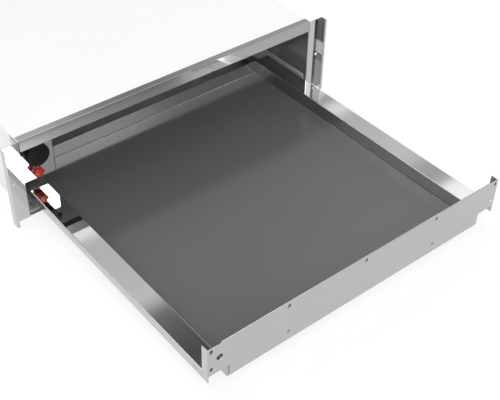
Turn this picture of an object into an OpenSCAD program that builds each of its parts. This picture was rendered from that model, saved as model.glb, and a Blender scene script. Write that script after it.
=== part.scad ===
/* [Frame] */
// Clear width between the mounting plates
opening_w = 540; // [480:1:600]
// Width of each mounting plate's face
plate_w = 28; // [22:0.5:40]
// Sheet thickness of the frame pieces
frame_t = 1.2; // [0.8:0.1:1.5]
// How far the top rail stands above the mounting plates
rail_proud = 1.8; // [0.5:0.1:3]
// How far each mounting plate's outer lip stands forward
lip_d = 12; // [8:0.5:14]
// Width of the inward return on each lip
lip_return = 4; // [2:0.5:8]
// Height of the top rail's face
rail_face_h = 19.3; // [15:0.1:24]
// Depth of the top rail's two flanges
rail_d = 12; // [8:0.5:16]
// Depth of the mounting plates' fixing flanges
plate_flange_d = 20; // [16:0.5:22]
// Diameter of the screw hole in each mounting plate
niche_hole_d = 5.5; // [4:0.1:6.5]
// Distance of that hole from the plate's outer edge
niche_hole_inset = 8.7; // [7:0.1:14]

/* [Chassis] */
// Height of the casing
case_h = 137.1; // [128:0.1:160]
// Sheet thickness of the casing
case_t = 1; // [0.7:0.1:1.2]
// Play between the frame opening and the casing's inner faces
case_play = 0.2; // [0:0.1:1]
// Thickness of the insulation over the ceiling
insulation_t = 11.3; // [9:0.1:15]
// Height of the side skirts of the top cover
skirt_h = 11; // [9:0.5:16]
// Depth of the fan space behind the baffle
plenum_d = 28; // [26:0.5:34]
// Distance of each rubber buffer from the tray's side wall
bumper_inset = 38; // [20:1:80]
// Distance between neighbouring vents in the floor
floor_vent_pitch = 60; // [45:1:70]
// Length of a vent in the floor, between the centres of its round ends
floor_vent_l = 30; // [15:1:34]
// Length of the rubber buffers on the baffle
bumper_l = 4; // [2:0.5:8]
// Radius of a screw's shank
screw_r = 1.9; // [1.5:0.1:2.2]
// Radius of a screw's head
screw_head_r = 3.6; // [3:0.1:4]
// Height of a screw's head
screw_head_h = 1.8; // [1.2:0.1:2.4]

/* [Drawer] */
// How far the drawer runs out
drawer_travel = 407; // [300:1:420]
// Distance from the frame to the closed drawer's front face
closed_standoff = 12.7; // [12.4:0.1:14]
// Inside depth of the tray
tray_d = 505.8; // [470:0.1:540]
// Room at each side of the tray for its slide, its ledge and the play
side_room = 41.4; // [39:0.1:48]
// Depth of the tray above its warming plate
tray_wall_h = 22.5; // [20:0.1:26]
// Width of the ledge beside the tray
ledge_w = 30.3; // [29:0.1:31]
// Height of the ledge's outer lip
ledge_lip_h = 14.4; // [10:0.1:16]
// Sheet thickness of the tray
tray_t = 0.8; // [0.6:0.1:1]
// Height of the tray's underside over the bottom of the casing
tray_base_z = 9.3; // [8:0.1:12]
// Thickness of the warming plate
warm_plate_t = 0.8; // [0.5:0.1:2]

/* [Front plate] */
// How far the front plate stands out past the tray's ledge at each side
front_over = 0.1; // [0:0.1:4]
// How much narrower than the tray its deep middle part is at each side
front_low_inset = 2.6; // [0.5:0.1:12]
// Sheet thickness of the front plate
front_t = 1.2; // [1:0.1:1.5]
// Height of its top edge over the bottom of the casing
front_top_z = 80.6; // [76:0.1:95]
// Height of the bottom edge of the middle part
front_low_z = 10.5; // [9:0.1:12]
// Height of the bottom edge of the two end tabs
front_tab_z = 30; // [25:0.1:32]
// How much lower the end tabs' top edges are
tab_drop = 2; // [0.5:0.1:4]
// Width of each end tab at that lower height
tab_w = 21; // [18:0.5:26]
// Depth of the folded outer flanges
front_flange_d = 12; // [10:0.5:14]
// Width of the fixing slots
slot_w = 4.2; // [3.5:0.1:5]
// Length of the fixing slots
slot_l = 7.5; // [6.5:0.1:9]
// Distance of the outer slots from the plate's ends
outer_slot_inset = 5.6; // [5:0.1:8]
// Distance of the inner slots from the middle
inner_slot_x = 132; // [100:1:170]
// Distance between the two outer slots, one over the other
outer_slot_pitch = 32; // [26:0.5:34]
// Distance between the two inner slots, one over the other
inner_slot_pitch = 47; // [40:0.5:50]
// Distance of the upper slots from the plate's top edge
upper_slot_drop = 8.4; // [7.5:0.1:10]
// Diameter of the adjusting hole in the left end
adjust_hole_d = 10; // [6:0.5:12]

/* [Slides] */
// Length of each slide member
slide_l = 480; // [440:1:485]
// Overall height of a slide
slide_h = 22; // [21:0.5:24]
// Sheet thickness of the slide members
slide_t = 1; // [0.8:0.1:1.1]
// Overall thickness of a slide
slide_w = 12.9; // [12.6:0.1:14]
// Diameter of the balls
ball_d = 3; // [2.6:0.1:3.1]
// Play of a ball in its races
ball_play = 0.3; // [0.25:0.05:0.4]
// Thickness of the ball cages
cage_t = 0.6; // [0.5:0.05:0.65]
// Length of the ball cages
cage_l = 140; // [100:1:150]
// Balls in each row of a cage
row_balls = 5; // [3:1:7]
// Sheet thickness of the slide brackets
bracket_t = 1.2; // [1:0.1:1.4]
// Height of the slide brackets' outer webs
bracket_h = 30; // [28:0.5:32]

/* [Controls] */
// Depth of the control panel behind the frame
panel_back = 24.5; // [23:0.5:28]
// Visible width of the control panel
panel_w = 62.5; // [58:0.5:66]
// Height of the control panel's bottom edge
panel_low_z = 43; // [40:0.5:46]
// Depth of the control box
box_d = 67; // [60:1:90]
// Diameter of the thermostat knob
knob_d = 36.4; // [30:0.2:38]
// Length of the thermostat knob
knob_l = 17; // [14:0.5:18]
// Distance of both knobs from the left edge of the opening
knob_inset = 30; // [29:0.5:32]
// Height of the thermostat knob's axis
knob_z = 94.6; // [92:0.1:98]
// Diameter of the selector knob
selector_d = 18; // [16:0.2:20]
// Length of the selector knob
selector_l = 11.6; // [10:0.2:13]
// Height of the selector knob's axis
selector_z = 59; // [57:0.1:61]
// Radius of the thermostat shaft
knob_shaft_r = 3; // [2.5:0.1:3.5]
// Radius of the selector shaft
selector_shaft_r = 2.5; // [2:0.1:2.8]

/* [Fan heater] */
// Radius of the fan wheel
fan_r = 42; // [36:0.5:43]
// Width of the fan wheel
fan_l = 14; // [10:0.5:15]
// Distance of the heating element's ring from the fan space's front wall
heater_in = 15; // [14:0.1:17]
// Number of fan blades
fan_blades = 16; // [10:1:24]
// Radius of the heating element's ring
heater_ring_r = 50; // [49:0.5:51]
// Radius of the heating element's tube
heater_tube_r = 3.2; // [2.8:0.1:3.6]
// Depth of the rear service cover
cover_d = 20; // [19:0.5:26]
// Radius of the motor
motor_r = 32; // [28:0.5:34]
// Length of the motor
motor_l = 16; // [14:0.5:17]
// Radius of the shaft of the motor
fan_shaft_r = 2; // [1.5:0.1:2.5]
// Distance between neighbouring terminals
terminal_pitch = 14; // [10:0.5:16]
// Radius of the hole for the mains cord in its gland
gland_bore_r = 4.2; // [3:0.1:5]

/* [Hidden] */
$fn = 48;
eps = 0.01;
run_play = 0.05;
hole_play = 0.2;
buffer_play = 0.3;

// Depths are counted from the front face of the frame, positive to the rear
front_back_y = front_t - closed_standoff;
tray_in_y = front_back_y + tray_t;
tray_rear_y = tray_in_y + tray_d;
tray_end_y = tray_rear_y + tray_t;
baffle_y = tray_end_y + buffer_play + bumper_l;
plenum_y = baffle_y + case_t;
back_y = plenum_y + plenum_d;
case_d = back_y + case_t;
front_y = -case_d / 2;

frame_w = opening_w + 2 * plate_w;
case_in = opening_w / 2 + case_play;
case_out = case_in + case_t;
wall_top = case_h - case_t;
ceiling_z = wall_top - insulation_t - case_t;
rail_top = case_h + frame_t;
rail_low = rail_top - rail_face_h;
plate_h = rail_top - rail_proud;
skirt_low = case_h - skirt_h;
floor_vent_rows = [30, 45];
back_vent_rows = [28, 44];
back_vent_pitch = 20;
back_vent_r = 4;
bumper_r = 7;
skirt_x = case_out + case_t;
plate_flange_x = case_out + frame_t;
rear_flange_w = 12;

tray_w = opening_w - 2 * side_room;
front_w = tray_w + 2 * (ledge_w + front_over);
front_low_w = tray_w - 2 * front_low_inset;
warm_z = tray_base_z + tray_t + warm_plate_t;
ledge_z = warm_z + tray_wall_h;
tray_x = tray_w / 2;
tray_out = tray_x + tray_t;
ledge_x = tray_x + ledge_w;
ledge_front_x = min(ledge_x, front_w / 2 - front_t - hole_play / 2);
lip_gap = 0.4;
lip_slot_l = 8;
lip_slot_h = 3;

slide_z = tray_base_z + tray_t + slide_h / 2 - 3.1;
slide_x = tray_out + slide_w;
slide_y = 10;
groove_d = 0.3;
groove_r = ball_d / 2 + ball_play;
race = ball_d + 2 * ball_play - 2 * groove_d;
outer_v = slide_h / 2;
outer_ball_v = outer_v - slide_t - race / 2;
middle_v = outer_v - slide_t - race;
inner_ball_v = middle_v - slide_t - race / 2;
inner_v = middle_v - slide_t - race;
cage_gap = 0.3;
middle_u = slide_t + 2 * cage_gap + cage_t;
inner_cage_u = middle_u + slide_t + cage_gap;
inner_u = inner_cage_u + cage_t + 0.5;
ball_u = (inner_u + slide_w - slide_t) / 2 - 0.9;
flange_u = slide_w - slide_t - 0.7;
bracket_x = slide_x + bracket_t;
cage_y = 140;

panel_right = -case_in + panel_w;
knob_x = knob_inset - opening_w / 2;
box_y = panel_back + box_d;
panel_front_gap = 0.5;
bushing_l = 5;
nut_l = 3;
pointer_l = 3.5;
control_d = 20;
thermostat_r = 17;
thermostat_tag_l = 10;
selector_h = 20;
selector_tag_l = 8;

fan_z = (case_t + ceiling_z) / 2;
fan_y = plenum_y + 9;
heater_y = plenum_y + heater_in;
heater_open = 20;
leg_x = -heater_ring_r * cos(heater_open);
leg_dz = heater_ring_r * sin(heater_open);
cover_left = -case_in + rear_flange_w + screw_head_r + 1;
cover_right = motor_r + 14;
cover_low = fan_z - motor_r - 10;
cover_high = fan_z + motor_r + 10;
cover_y = case_d + cover_d;
cover_flange = 10;
cover_vent_h = 48;
block_edge = 8;
block_x0 = cover_left + 8;
block_x1 = block_x0 + 2 * terminal_pitch + 2 * block_edge;
cutout_x = leg_x - 26;
block_l = 12;
gland_x = block_x0 + 20;
gland_z = cover_low + 15;
gland_r = 8;
gland_l = 14;
lead_drop = 12;
lead_r = 2;
loom_r = 3.5;
sensor_x = knob_x + 8;
sensor_z = knob_z + 9;
loom_drop = 9.5;
loom_x = block_x0 + block_edge;
loom_z = sensor_z - loom_drop;
bulb_y = 330;
bulb_l = 80;
bulb_r = 3;

// A block between two corners, with its depth counted from the frame's front face
module block(x, y, z) {
    translate([x[0], front_y + y[0], z[0]])
        cube([x[1] - x[0], y[1] - y[0], z[1] - z[0]]);
}

// A round bar along the depth
module bar_y(x, z, y, r) {
    translate([x, front_y + y[0], z])
        rotate([-90, 0, 0]) cylinder(r = r, h = y[1] - y[0]);
}

// A round bar along the width
module bar_x(y, z, x, r) {
    translate([x[0], front_y + y, z])
        rotate([0, 90, 0]) cylinder(r = r, h = x[1] - x[0]);
}

// A round bar along the height
module bar_z(x, y, z, r) {
    translate([x, front_y + y, z[0]]) cylinder(r = r, h = z[1] - z[0]);
}

// A ball at a point
module ball(x, y, z, r) {
    translate([x, front_y + y, z]) sphere(r = r);
}

// A piece drawn on the right is kept there or mirrored to the left
module on_side(left) {
    mirror([left ? 1 : 0, 0, 0]) children();
}

// A slot through the depth that stands upright
module upright_slot(x, z, y) {
    half = (slot_l - slot_w) / 2;
    for (dz = [-half, half]) bar_y(x, z + dz, y, slot_w / 2);
    block([x - slot_w / 2, x + slot_w / 2], y, [z - half, z + half]);
}

// Places of the screws through each mounting plate's fixing flange
plate_screw_y = plate_flange_d / 2 + 1;
plate_screws = [bracket_h + 14, rail_low - 9];
// Depths of the screws through each side skirt of the top cover
skirt_screw_front = 60;
skirt_screw_rear = 50;
skirt_screws = [skirt_screw_front, case_d / 2, case_d - skirt_screw_rear];
skirt_screw_z = case_h - skirt_h / 2;
// Heights of the screws through each end of the back panel
back_screws = [20, case_h / 2, ceiling_z - 8];
back_screw_x = case_in - rear_flange_w / 2;
// Widths of the screws through each long flange of the rear cover
cover_screws = [cover_left + 20, (cover_left + cover_right) / 2, cover_right - 20];
// Depths of the screws through each slide bracket's base
bracket_screws = [for (share = [0.06, 0.48, 0.9]) slide_y + share * slide_l];
bracket_screw_x = (bracket_x + case_in) / 2;

module plate_screw_holes(r) {
    for (z = plate_screws) bar_x(plate_screw_y, z, [case_in - 5, skirt_x + 5], r);
}

module skirt_screw_holes(r) {
    for (y = skirt_screws) bar_x(y, skirt_screw_z, [case_in - 5, skirt_x + 5], r);
}

module back_screw_holes(r) {
    for (s = [-1, 1], z = back_screws)
        bar_y(s * back_screw_x, z, [back_y - 5, case_d + 5], r);
}

module cover_screw_holes(r) {
    for (x = cover_screws, z = [cover_low - cover_flange / 2, cover_high + cover_flange / 2])
        bar_y(x, z, [back_y - 5, case_d + 5], r);
}

module bracket_screw_holes(r) {
    for (y = bracket_screws) bar_z(bracket_screw_x, y, [-eps, 6], r);
}

// A row of five stadium vents along the width, cut upwards through the floor
module floor_vents(y) {
    half = floor_vent_l / 2;
    for (x = [-2 * floor_vent_pitch:floor_vent_pitch:2 * floor_vent_pitch]) {
        for (dx = [-half, half]) bar_z(x + dx, y, [-1, case_t + 1], 2.5);
        block([x - half, x + half], [y - 2.5, y + 2.5], [-1, case_t + 1]);
    }
}

module chassis_floor() {
    color("gainsboro") difference() {
        block([-case_in, case_in], [frame_t, back_y], [0, case_t]);
        for (row = floor_vent_rows) floor_vents(baffle_y - row);
        for (left = [false, true]) on_side(left) bracket_screw_holes(screw_r + hole_play);
    }
}

module side_panel(left) {
    on_side(left) color("gainsboro") difference() {
        union() {
            block([case_in, case_out], [frame_t, case_d], [0, wall_top]);
            block([case_in - rear_flange_w, case_in + eps], [back_y - case_t, back_y],
                [case_t, ceiling_z]);
        }
        plate_screw_holes(screw_r + hole_play);
        skirt_screw_holes(screw_r + hole_play);
        mirror([left ? 1 : 0, 0, 0]) back_screw_holes(screw_r + hole_play);
    }
}

module left_side_panel() {
    side_panel(true);
}

module right_side_panel() {
    side_panel(false);
}

module back_panel() {
    color("gainsboro") difference() {
        block([-case_in, case_in], [back_y, case_d], [0, wall_top]);
        back_screw_holes(screw_r + hole_play);
        cover_screw_holes(screw_r + hole_play);
        bar_y(0, fan_z, [back_y - 1, case_d + 1], fan_shaft_r + 4 + hole_play);
        for (s = [-1, 1])
            bar_y(leg_x, fan_z + s * leg_dz, [back_y - 1, case_d + 1], heater_tube_r + 2.5);
        bar_y(loom_x, loom_z, [back_y - 1, case_d + 1], loom_r + hole_play);
        for (i = [2:8], z = back_vent_rows)
            bar_y(case_in - i * back_vent_pitch, z, [back_y - 1, case_d + 1], back_vent_r);
    }
}

module top_cover() {
    color("white") difference() {
        union() {
            block([-skirt_x, skirt_x], [plate_flange_d + 4, case_d], [wall_top, case_h]);
            block([-case_out, case_out], [frame_t, plate_flange_d + 4 + eps],
                [wall_top, case_h]);
            for (left = [false, true]) on_side(left)
                block([case_out, skirt_x], [plate_flange_d + 4, case_d],
                    [skirt_low, wall_top + eps]);
        }
        for (left = [false, true]) on_side(left) skirt_screw_holes(screw_r + hole_play);
    }
}

module ceiling_panel() {
    color("dimgray") difference() {
        union() {
            block([-case_in, case_in], [rail_d + 3, back_y - case_t],
                [ceiling_z, ceiling_z + case_t]);
            for (left = [false, true]) on_side(left)
                block([case_in - case_t, case_in], [rail_d + 3, back_y - case_t],
                    [ceiling_z, wall_top]);
        }
        for (left = [false, true]) on_side(left) skirt_screw_holes(screw_r + hole_play);
    }
}

module ceiling_insulation() {
    color("khaki")
        block([-case_in + 6, case_in - 6], [rail_d + 6, back_y - 8],
            [ceiling_z + case_t, wall_top]);
}

module top_rail() {
    half = opening_w / 2;
    color("silver") union() {
        block([-half, half], [0, frame_t], [rail_low, rail_top]);
        block([-half, half], [0, rail_d], [case_h, rail_top]);
        block([-half, half], [0, rail_d], [rail_low, rail_low + frame_t]);
    }
}

module mounting_plate(left) {
    outer = frame_w / 2;
    on_side(left) color("silver") difference() {
        union() {
            block([opening_w / 2, outer], [0, frame_t], [0, plate_h]);
            block([outer - frame_t, outer], [-lip_d, frame_t], [0, plate_h]);
            block([outer - lip_return, outer], [-lip_d, frame_t - lip_d], [0, plate_h]);
            block([case_out, plate_flange_x], [0, plate_flange_d], [0, plate_h - 2]);
        }
        bar_y(outer - niche_hole_inset, plate_h / 2, [-5, 5], niche_hole_d / 2);
        plate_screw_holes(screw_r + hole_play);
    }
}

module left_mounting_plate() {
    mounting_plate(true);
}

module right_mounting_plate() {
    mounting_plate(false);
}

module control_panel() {
    color("silver") difference() {
        union() {
            block([-case_in, panel_right], [panel_back, panel_back + frame_t],
                [panel_low_z, ceiling_z]);
            block([panel_right - frame_t, panel_right], [panel_back, box_y],
                [panel_low_z, ceiling_z]);
        }
        bar_y(knob_x, knob_z, [panel_back - 1, panel_back + 3], knob_shaft_r + 2.2);
        bar_y(knob_x, selector_z, [panel_back - 1, panel_back + 3], selector_shaft_r + 2.2);
    }
}

module control_box_cover() {
    color("lightgray") difference() {
        union() {
            block([-case_in, panel_right - frame_t], [panel_back + frame_t, box_y],
                [panel_low_z, panel_low_z + case_t]);
            block([-case_in, panel_right - frame_t], [box_y - case_t, box_y],
                [panel_low_z, ceiling_z]);
        }
        bar_y(loom_x, loom_z, [box_y - 3, box_y + 3], loom_r + hole_play);
        bar_y(sensor_x, sensor_z, [box_y - 3, box_y + 3], 1 + hole_play);
    }
}

module thermostat_body() {
    y = panel_back + frame_t;
    color("ivory") difference() {
        union() {
            bar_y(knob_x, knob_z, [y, y + control_d], thermostat_r);
            bar_y(knob_x, knob_z, [panel_back - bushing_l, y + eps], knob_shaft_r + 2);
            for (dx = [-8, 0])
                block([knob_x + dx - 3, knob_x + dx + 3],
                    [y + control_d - eps, y + control_d + thermostat_tag_l],
                    [knob_z - 12, knob_z - 11]);
        }
        bar_y(knob_x, knob_z, [panel_back - bushing_l - 1, y + 12], knob_shaft_r + run_play);
    }
}

module thermostat_nut() {
    color("goldenrod") difference() {
        translate([knob_x, front_y + panel_back, knob_z])
            rotate([90, 0, 0]) cylinder(r = knob_shaft_r + 5, h = nut_l, $fn = 6);
        bar_y(knob_x, knob_z, [panel_back - nut_l - 1, panel_back + 1],
            knob_shaft_r + 2 + run_play);
    }
}

module thermostat_shaft() {
    color("silver")
        bar_y(knob_x, knob_z, [panel_back - knob_l + 3, panel_back + 10], knob_shaft_r);
}

module thermostat_knob() {
    r = knob_d / 2;
    back = panel_back - panel_front_gap;
    color([0.07, 0.07, 0.07]) difference() {
        translate([knob_x, front_y + back, knob_z]) rotate([90, 0, 0]) rotate_extrude($fn = 96)
            polygon([[0, 0], [r, 0], [r, knob_l - 2], [r - 0.6, knob_l - 0.6],
                [r - 2, knob_l], [0, knob_l]]);
        bar_y(knob_x, knob_z, [panel_back - bushing_l - 0.8, back + 1], knob_shaft_r + 6);
        bar_y(knob_x, knob_z, [panel_back - knob_l + 3, back + 1], knob_shaft_r + run_play);
        block([knob_x - 0.7, knob_x + 0.7], [back - knob_l - 1, back - knob_l + 0.8],
            [knob_z + r - 2.5 - pointer_l, knob_z + r - 2.5]);
    }
}

module selector_body() {
    y = panel_back + frame_t;
    color("dimgray") difference() {
        union() {
            block([knob_x - 11, knob_x + 11], [y, y + control_d],
                [selector_z - selector_h / 2, selector_z + selector_h / 2]);
            bar_y(knob_x, selector_z, [panel_back - 4, y + eps], selector_shaft_r + 2);
            for (dx = [-6, 0, 6])
                block([knob_x + dx - 2, knob_x + dx + 2],
                    [y + control_d - eps, y + control_d + selector_tag_l],
                    [selector_z - 0.4, selector_z + 0.4]);
        }
        bar_y(knob_x, selector_z, [panel_back - 5, y + 12], selector_shaft_r + run_play);
    }
}

module selector_nut() {
    color("goldenrod") difference() {
        translate([knob_x, front_y + panel_back, selector_z])
            rotate([90, 0, 0]) cylinder(r = selector_shaft_r + 3.6, h = nut_l, $fn = 6);
        bar_y(knob_x, selector_z, [panel_back - nut_l - 1, panel_back + 1],
            selector_shaft_r + 2 + run_play);
    }
}

module selector_shaft() {
    color("silver")
        bar_y(knob_x, selector_z, [panel_back - selector_l + 2, panel_back + 9],
            selector_shaft_r);
}

module selector_knob() {
    r = selector_d / 2;
    lobes = 6;
    back = panel_back - panel_front_gap;
    color("firebrick") difference() {
        translate([knob_x, front_y + back, selector_z]) rotate([90, 0, 0]) union() {
            cylinder(r = r - 0.6, h = 5);
            linear_extrude(height = selector_l - 1) for (i = [0:lobes - 1])
                rotate(i * 360 / lobes) translate([r - 2.6, 0]) circle(r = 2.6);
            cylinder(r = r - 2.4, h = selector_l);
        }
        bar_y(knob_x, selector_z, [panel_back - 4.6, back + 1], selector_shaft_r + 3.9);
        bar_y(knob_x, selector_z, [panel_back - selector_l + 2, back + 1],
            selector_shaft_r + run_play);
    }
}

module capillary_sensor() {
    color("peru") union() {
        bar_y(sensor_x, sensor_z, [panel_back + frame_t + 20, bulb_y + eps], 1);
        bar_y(sensor_x, sensor_z, [bulb_y, bulb_y + bulb_l], bulb_r);
    }
}

module sensor_clips() {
    color("lightgray") for (y = [bulb_y + 12, bulb_y + bulb_l - 14]) difference() {
        union() {
            block([sensor_x - 5, sensor_x + 5], [y, y + 2], [sensor_z - 5, ceiling_z]);
            block([sensor_x - 5, sensor_x + 5], [y, y + 10],
                [ceiling_z - case_t, ceiling_z]);
        }
        bar_y(sensor_x, sensor_z, [y - 1, y + 3], bulb_r + 0.05);
    }
}

module fan_baffle() {
    y = [baffle_y - 1, plenum_y + 1];
    color("gray") difference() {
        block([-case_in, case_in], [baffle_y, plenum_y], [case_t, ceiling_z]);
        bar_y(0, fan_z, y, 3);
        for (ring = [1:3], i = [0:ring * 6 - 1])
            bar_y(ring * 9.5 * cos(i * 60 / ring), fan_z + ring * 9.5 * sin(i * 60 / ring),
                y, 3);
        for (left = [false, true]) on_side(left) for (i = [0:7])
            block([120 + i * 12, 124 + i * 12], y, [fan_z - 22, fan_z + 22]);
        bar_y(loom_x, loom_z, y, loom_r + hole_play);
    }
}

module fan_motor() {
    color("slategray") difference() {
        union() {
            bar_y(0, fan_z, [case_d, case_d + motor_l], motor_r);
            bar_y(0, fan_z, [back_y - 3, case_d + eps], fan_shaft_r + 4);
        }
        bar_y(0, fan_z, [back_y - 4, case_d + motor_l - 3], fan_shaft_r + run_play);
    }
}

module fan_shaft() {
    color("silver")
        bar_y(0, fan_z, [fan_y, case_d + motor_l - 5], fan_shaft_r);
}

module fan_impeller() {
    color("lightgray") difference() {
        union() {
            bar_y(0, fan_z, [fan_y, fan_y + fan_l - 1], 8);
            bar_y(0, fan_z, [fan_y + fan_l - 1, fan_y + fan_l], fan_r);
            for (i = [0:fan_blades - 1])
                translate([0, front_y + fan_y, fan_z]) rotate([0, i * 360 / fan_blades, 0])
                    translate([fan_r - 18, 0, 0]) rotate([0, 25, 0]) translate([0, 0, -0.5])
                        cube([16, fan_l - 1 + eps, 1]);
        }
        bar_y(0, fan_z, [fan_y - 1, fan_y + fan_l + 1], fan_shaft_r);
    }
}

module heater_ring(r) {
    translate([0, front_y + heater_y, fan_z]) rotate([90, 180 - heater_open, 0])
        rotate_extrude(angle = 360 - 2 * heater_open, $fn = 96)
            translate([heater_ring_r, 0]) circle(r = r);
}

module heater_element() {
    color("darkolivegreen") union() {
        heater_ring(heater_tube_r);
        for (s = [-1, 1]) {
            ball(leg_x, heater_y, fan_z + s * leg_dz, heater_tube_r);
            bar_y(leg_x, fan_z + s * leg_dz, [heater_y, case_d + 4], heater_tube_r);
        }
    }
}

module heater_bushings() {
    color("ivory") for (s = [-1, 1]) difference() {
        union() {
            bar_y(leg_x, fan_z + s * leg_dz, [back_y - 1, case_d + 1], heater_tube_r + 2.4);
            bar_y(leg_x, fan_z + s * leg_dz, [case_d, case_d + 1], heater_tube_r + 4);
        }
        bar_y(leg_x, fan_z + s * leg_dz, [back_y - 2, case_d + 2], heater_tube_r + run_play);
    }
}

module heater_clips() {
    color("lightgray") difference() {
        for (a = [-100, 0, 100])
            translate([0, front_y + heater_y, fan_z]) rotate([0, a, 0])
                translate([heater_ring_r - heater_tube_r - 1.5, 0, -3])
                    cube([2 * heater_tube_r + 3, back_y - heater_y, 6]);
        heater_ring(heater_tube_r + run_play);
    }
}

module thermal_cutout() {
    color("black") union() {
        bar_y(cutout_x, fan_z, [case_d, case_d + 7], 8);
        for (x = [cutout_x - 3, cutout_x + 3])
            block([x - 1, x + 1], [case_d + 7 - eps, case_d + 13],
                [fan_z - 0.4, fan_z + 0.4]);
    }
}

module terminal_block() {
    high = fan_z + leg_dz + 5;
    low = fan_z - leg_dz - 5;
    color("ivory") difference() {
        block([block_x0, block_x1], [case_d, case_d + block_l], [low, high]);
        for (i = [0:2], z = [fan_z - 8, fan_z + 8])
            bar_y(block_x0 + block_edge + i * terminal_pitch, z,
                [case_d + 4, case_d + block_l + 1], 3);
    }
}

module wiring_loom() {
    turn_y = case_d + 6;
    high = fan_z + leg_dz + 5;
    lead_side = lead_drop - lead_r;
    color("dimgray") {
        union() {
            bar_y(loom_x, loom_z, [box_y - 4, turn_y], loom_r);
            ball(loom_x, turn_y, loom_z, loom_r);
            bar_z(loom_x, turn_y, [high, loom_z], loom_r);
        }
        bar_x(turn_y, fan_z - lead_drop,
            [block_x1, -sqrt(motor_r * motor_r - lead_side * lead_side) - hole_play],
            lead_r);
        for (s = [-1, 1])
            bar_x(case_d + 2.5, fan_z + s * leg_dz, [block_x1, leg_x - heater_tube_r - 0.1],
                1.4);
    }
}

module cable_gland() {
    color("black") difference() {
        union() {
            bar_y(gland_x, gland_z, [cover_y - 6, cover_y + 8], gland_r);
            bar_y(gland_x, gland_z, [cover_y, cover_y + 3], gland_r + 2);
        }
        bar_y(gland_x, gland_z, [cover_y - 7, cover_y + 9], gland_bore_r);
    }
}

module rear_cover() {
    color("gainsboro") difference() {
        union() {
            block([cover_left, cover_right], [case_d, cover_y], [cover_low, cover_high]);
            block([cover_left, cover_right], [case_d, case_d + case_t],
                [cover_low - cover_flange, cover_high + cover_flange]);
        }
        block([cover_left + case_t, cover_right - case_t], [case_d - 1, cover_y - case_t],
            [cover_low + case_t, cover_high - case_t]);
        cover_screw_holes(screw_r + hole_play);
        bar_y(gland_x, gland_z, [cover_y - 2, cover_y + 1], gland_r + 0.1);
        for (i = [-3:3])
            block([i * 8 - 2, i * 8 + 2], [cover_y - 2, cover_y + 1],
                [fan_z - cover_vent_h / 2, fan_z + cover_vent_h / 2]);
    }
}

module rear_bumpers() {
    color([0.1, 0.1, 0.1]) for (s = [-1, 1])
        bar_y(s * (tray_x - bumper_inset), (tray_base_z + ledge_z) / 2, [baffle_y - bumper_l, baffle_y],
            bumper_r);
}

module slide_bracket(left) {
    y0 = slide_y - 2;
    y1 = slide_y + slide_l + 2;
    base = [bracket_x, case_in];
    on_side(left) color("silver") difference() {
        union() {
            block(base, [y0, y1], [case_t, case_t + bracket_t]);
            block([case_in - bracket_t, case_in], [y0, y1], [case_t, bracket_h + case_t]);
            block([slide_x, bracket_x], [y0, y1], [case_t, slide_z + slide_h / 2]);
        }
        for (i = [0:8], dy = [-5, 5])
            bar_z(bracket_screw_x, y0 + 14 + i * 26 + dy, [0, 5], i % 2 == 0 ? 3.4 : 1.6);
        for (i = [0:2:8])
            block([bracket_screw_x - 3.4, bracket_screw_x + 3.4],
                [y0 + 9 + i * 26, y0 + 19 + i * 26], [0, 5]);
        for (i = [0:11])
            bar_x(y0 + 12 + i * 20, 20, [case_in - 3, case_in + 1], i % 2 == 0 ? 4 : 2.2);
        bracket_screw_holes(screw_r + hole_play);
    }
}

module left_slide_bracket() {
    slide_bracket(true);
}

module right_slide_bracket() {
    slide_bracket(false);
}

// A stretch of slide section: u runs from the outer web to the tray, v is the height
module slide_box(u, v, y) {
    block([slide_x - u[1], slide_x - u[0]], y, [slide_z + v[0], slide_z + v[1]]);
}

module race_cut(v, y) {
    for (s = [-1, 1])
        bar_y(slide_x - ball_u, slide_z + s * v, [y[0] - 1, y[1] + 1], groove_r);
}

module channel(u, v, web, y) {
    slide_box(web, [-v, v], y);
    for (s = [-1, 1])
        slide_box(u, [min(s * v, s * (v - slide_t)), max(s * v, s * (v - slide_t))], y);
}

module outer_rail(left) {
    y = [slide_y, slide_y + slide_l];
    on_side(left) color("silver") difference() {
        channel([0, flange_u], outer_v, [0, slide_t], y);
        race_cut(outer_ball_v, y);
    }
}

module middle_rail(left) {
    y = [slide_y - drawer_travel / 2, slide_y + slide_l - drawer_travel / 2];
    on_side(left) color("silver") difference() {
        channel([middle_u, flange_u], middle_v, [middle_u, middle_u + slide_t], y);
        race_cut(outer_ball_v, y);
        race_cut(inner_ball_v, y);
    }
}

module inner_rail(left) {
    y = [slide_y - drawer_travel, slide_y + slide_l - drawer_travel];
    on_side(left) color("silver") difference() {
        channel([inner_u, slide_w], inner_v, [slide_w - slide_t, slide_w], y);
        race_cut(inner_ball_v, y);
    }
}

module ball_cage(left, u, v, share) {
    y0 = cage_y - drawer_travel * share;
    pitch = cage_l / row_balls;
    half = cage_t / 2;
    on_side(left) color("lightgray") {
        difference() {
            union() {
                slide_box([u, u + cage_t], [-v - half, v + half], [y0, y0 + cage_l]);
                for (s = [-1, 1])
                    slide_box([u, ball_u + 2.6], [s * v - half, s * v + half],
                        [y0, y0 + cage_l]);
            }
            for (i = [0:row_balls - 1])
                bar_z(slide_x - ball_u, y0 + (i + 0.5) * pitch,
                    [slide_z - v - 2, slide_z + v + 2], ball_d / 2 + 0.15);
        }
        for (i = [0:row_balls - 1], s = [-1, 1])
            ball(slide_x - ball_u, y0 + (i + 0.5) * pitch, slide_z + s * v, ball_d / 2);
    }
}

module left_outer_rail() {
    outer_rail(true);
}

module right_outer_rail() {
    outer_rail(false);
}

module left_middle_rail() {
    middle_rail(true);
}

module right_middle_rail() {
    middle_rail(false);
}

module left_inner_rail() {
    inner_rail(true);
}

module right_inner_rail() {
    inner_rail(false);
}

module left_outer_balls() {
    ball_cage(true, slide_t + cage_gap, outer_ball_v, 0.25);
}

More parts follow.
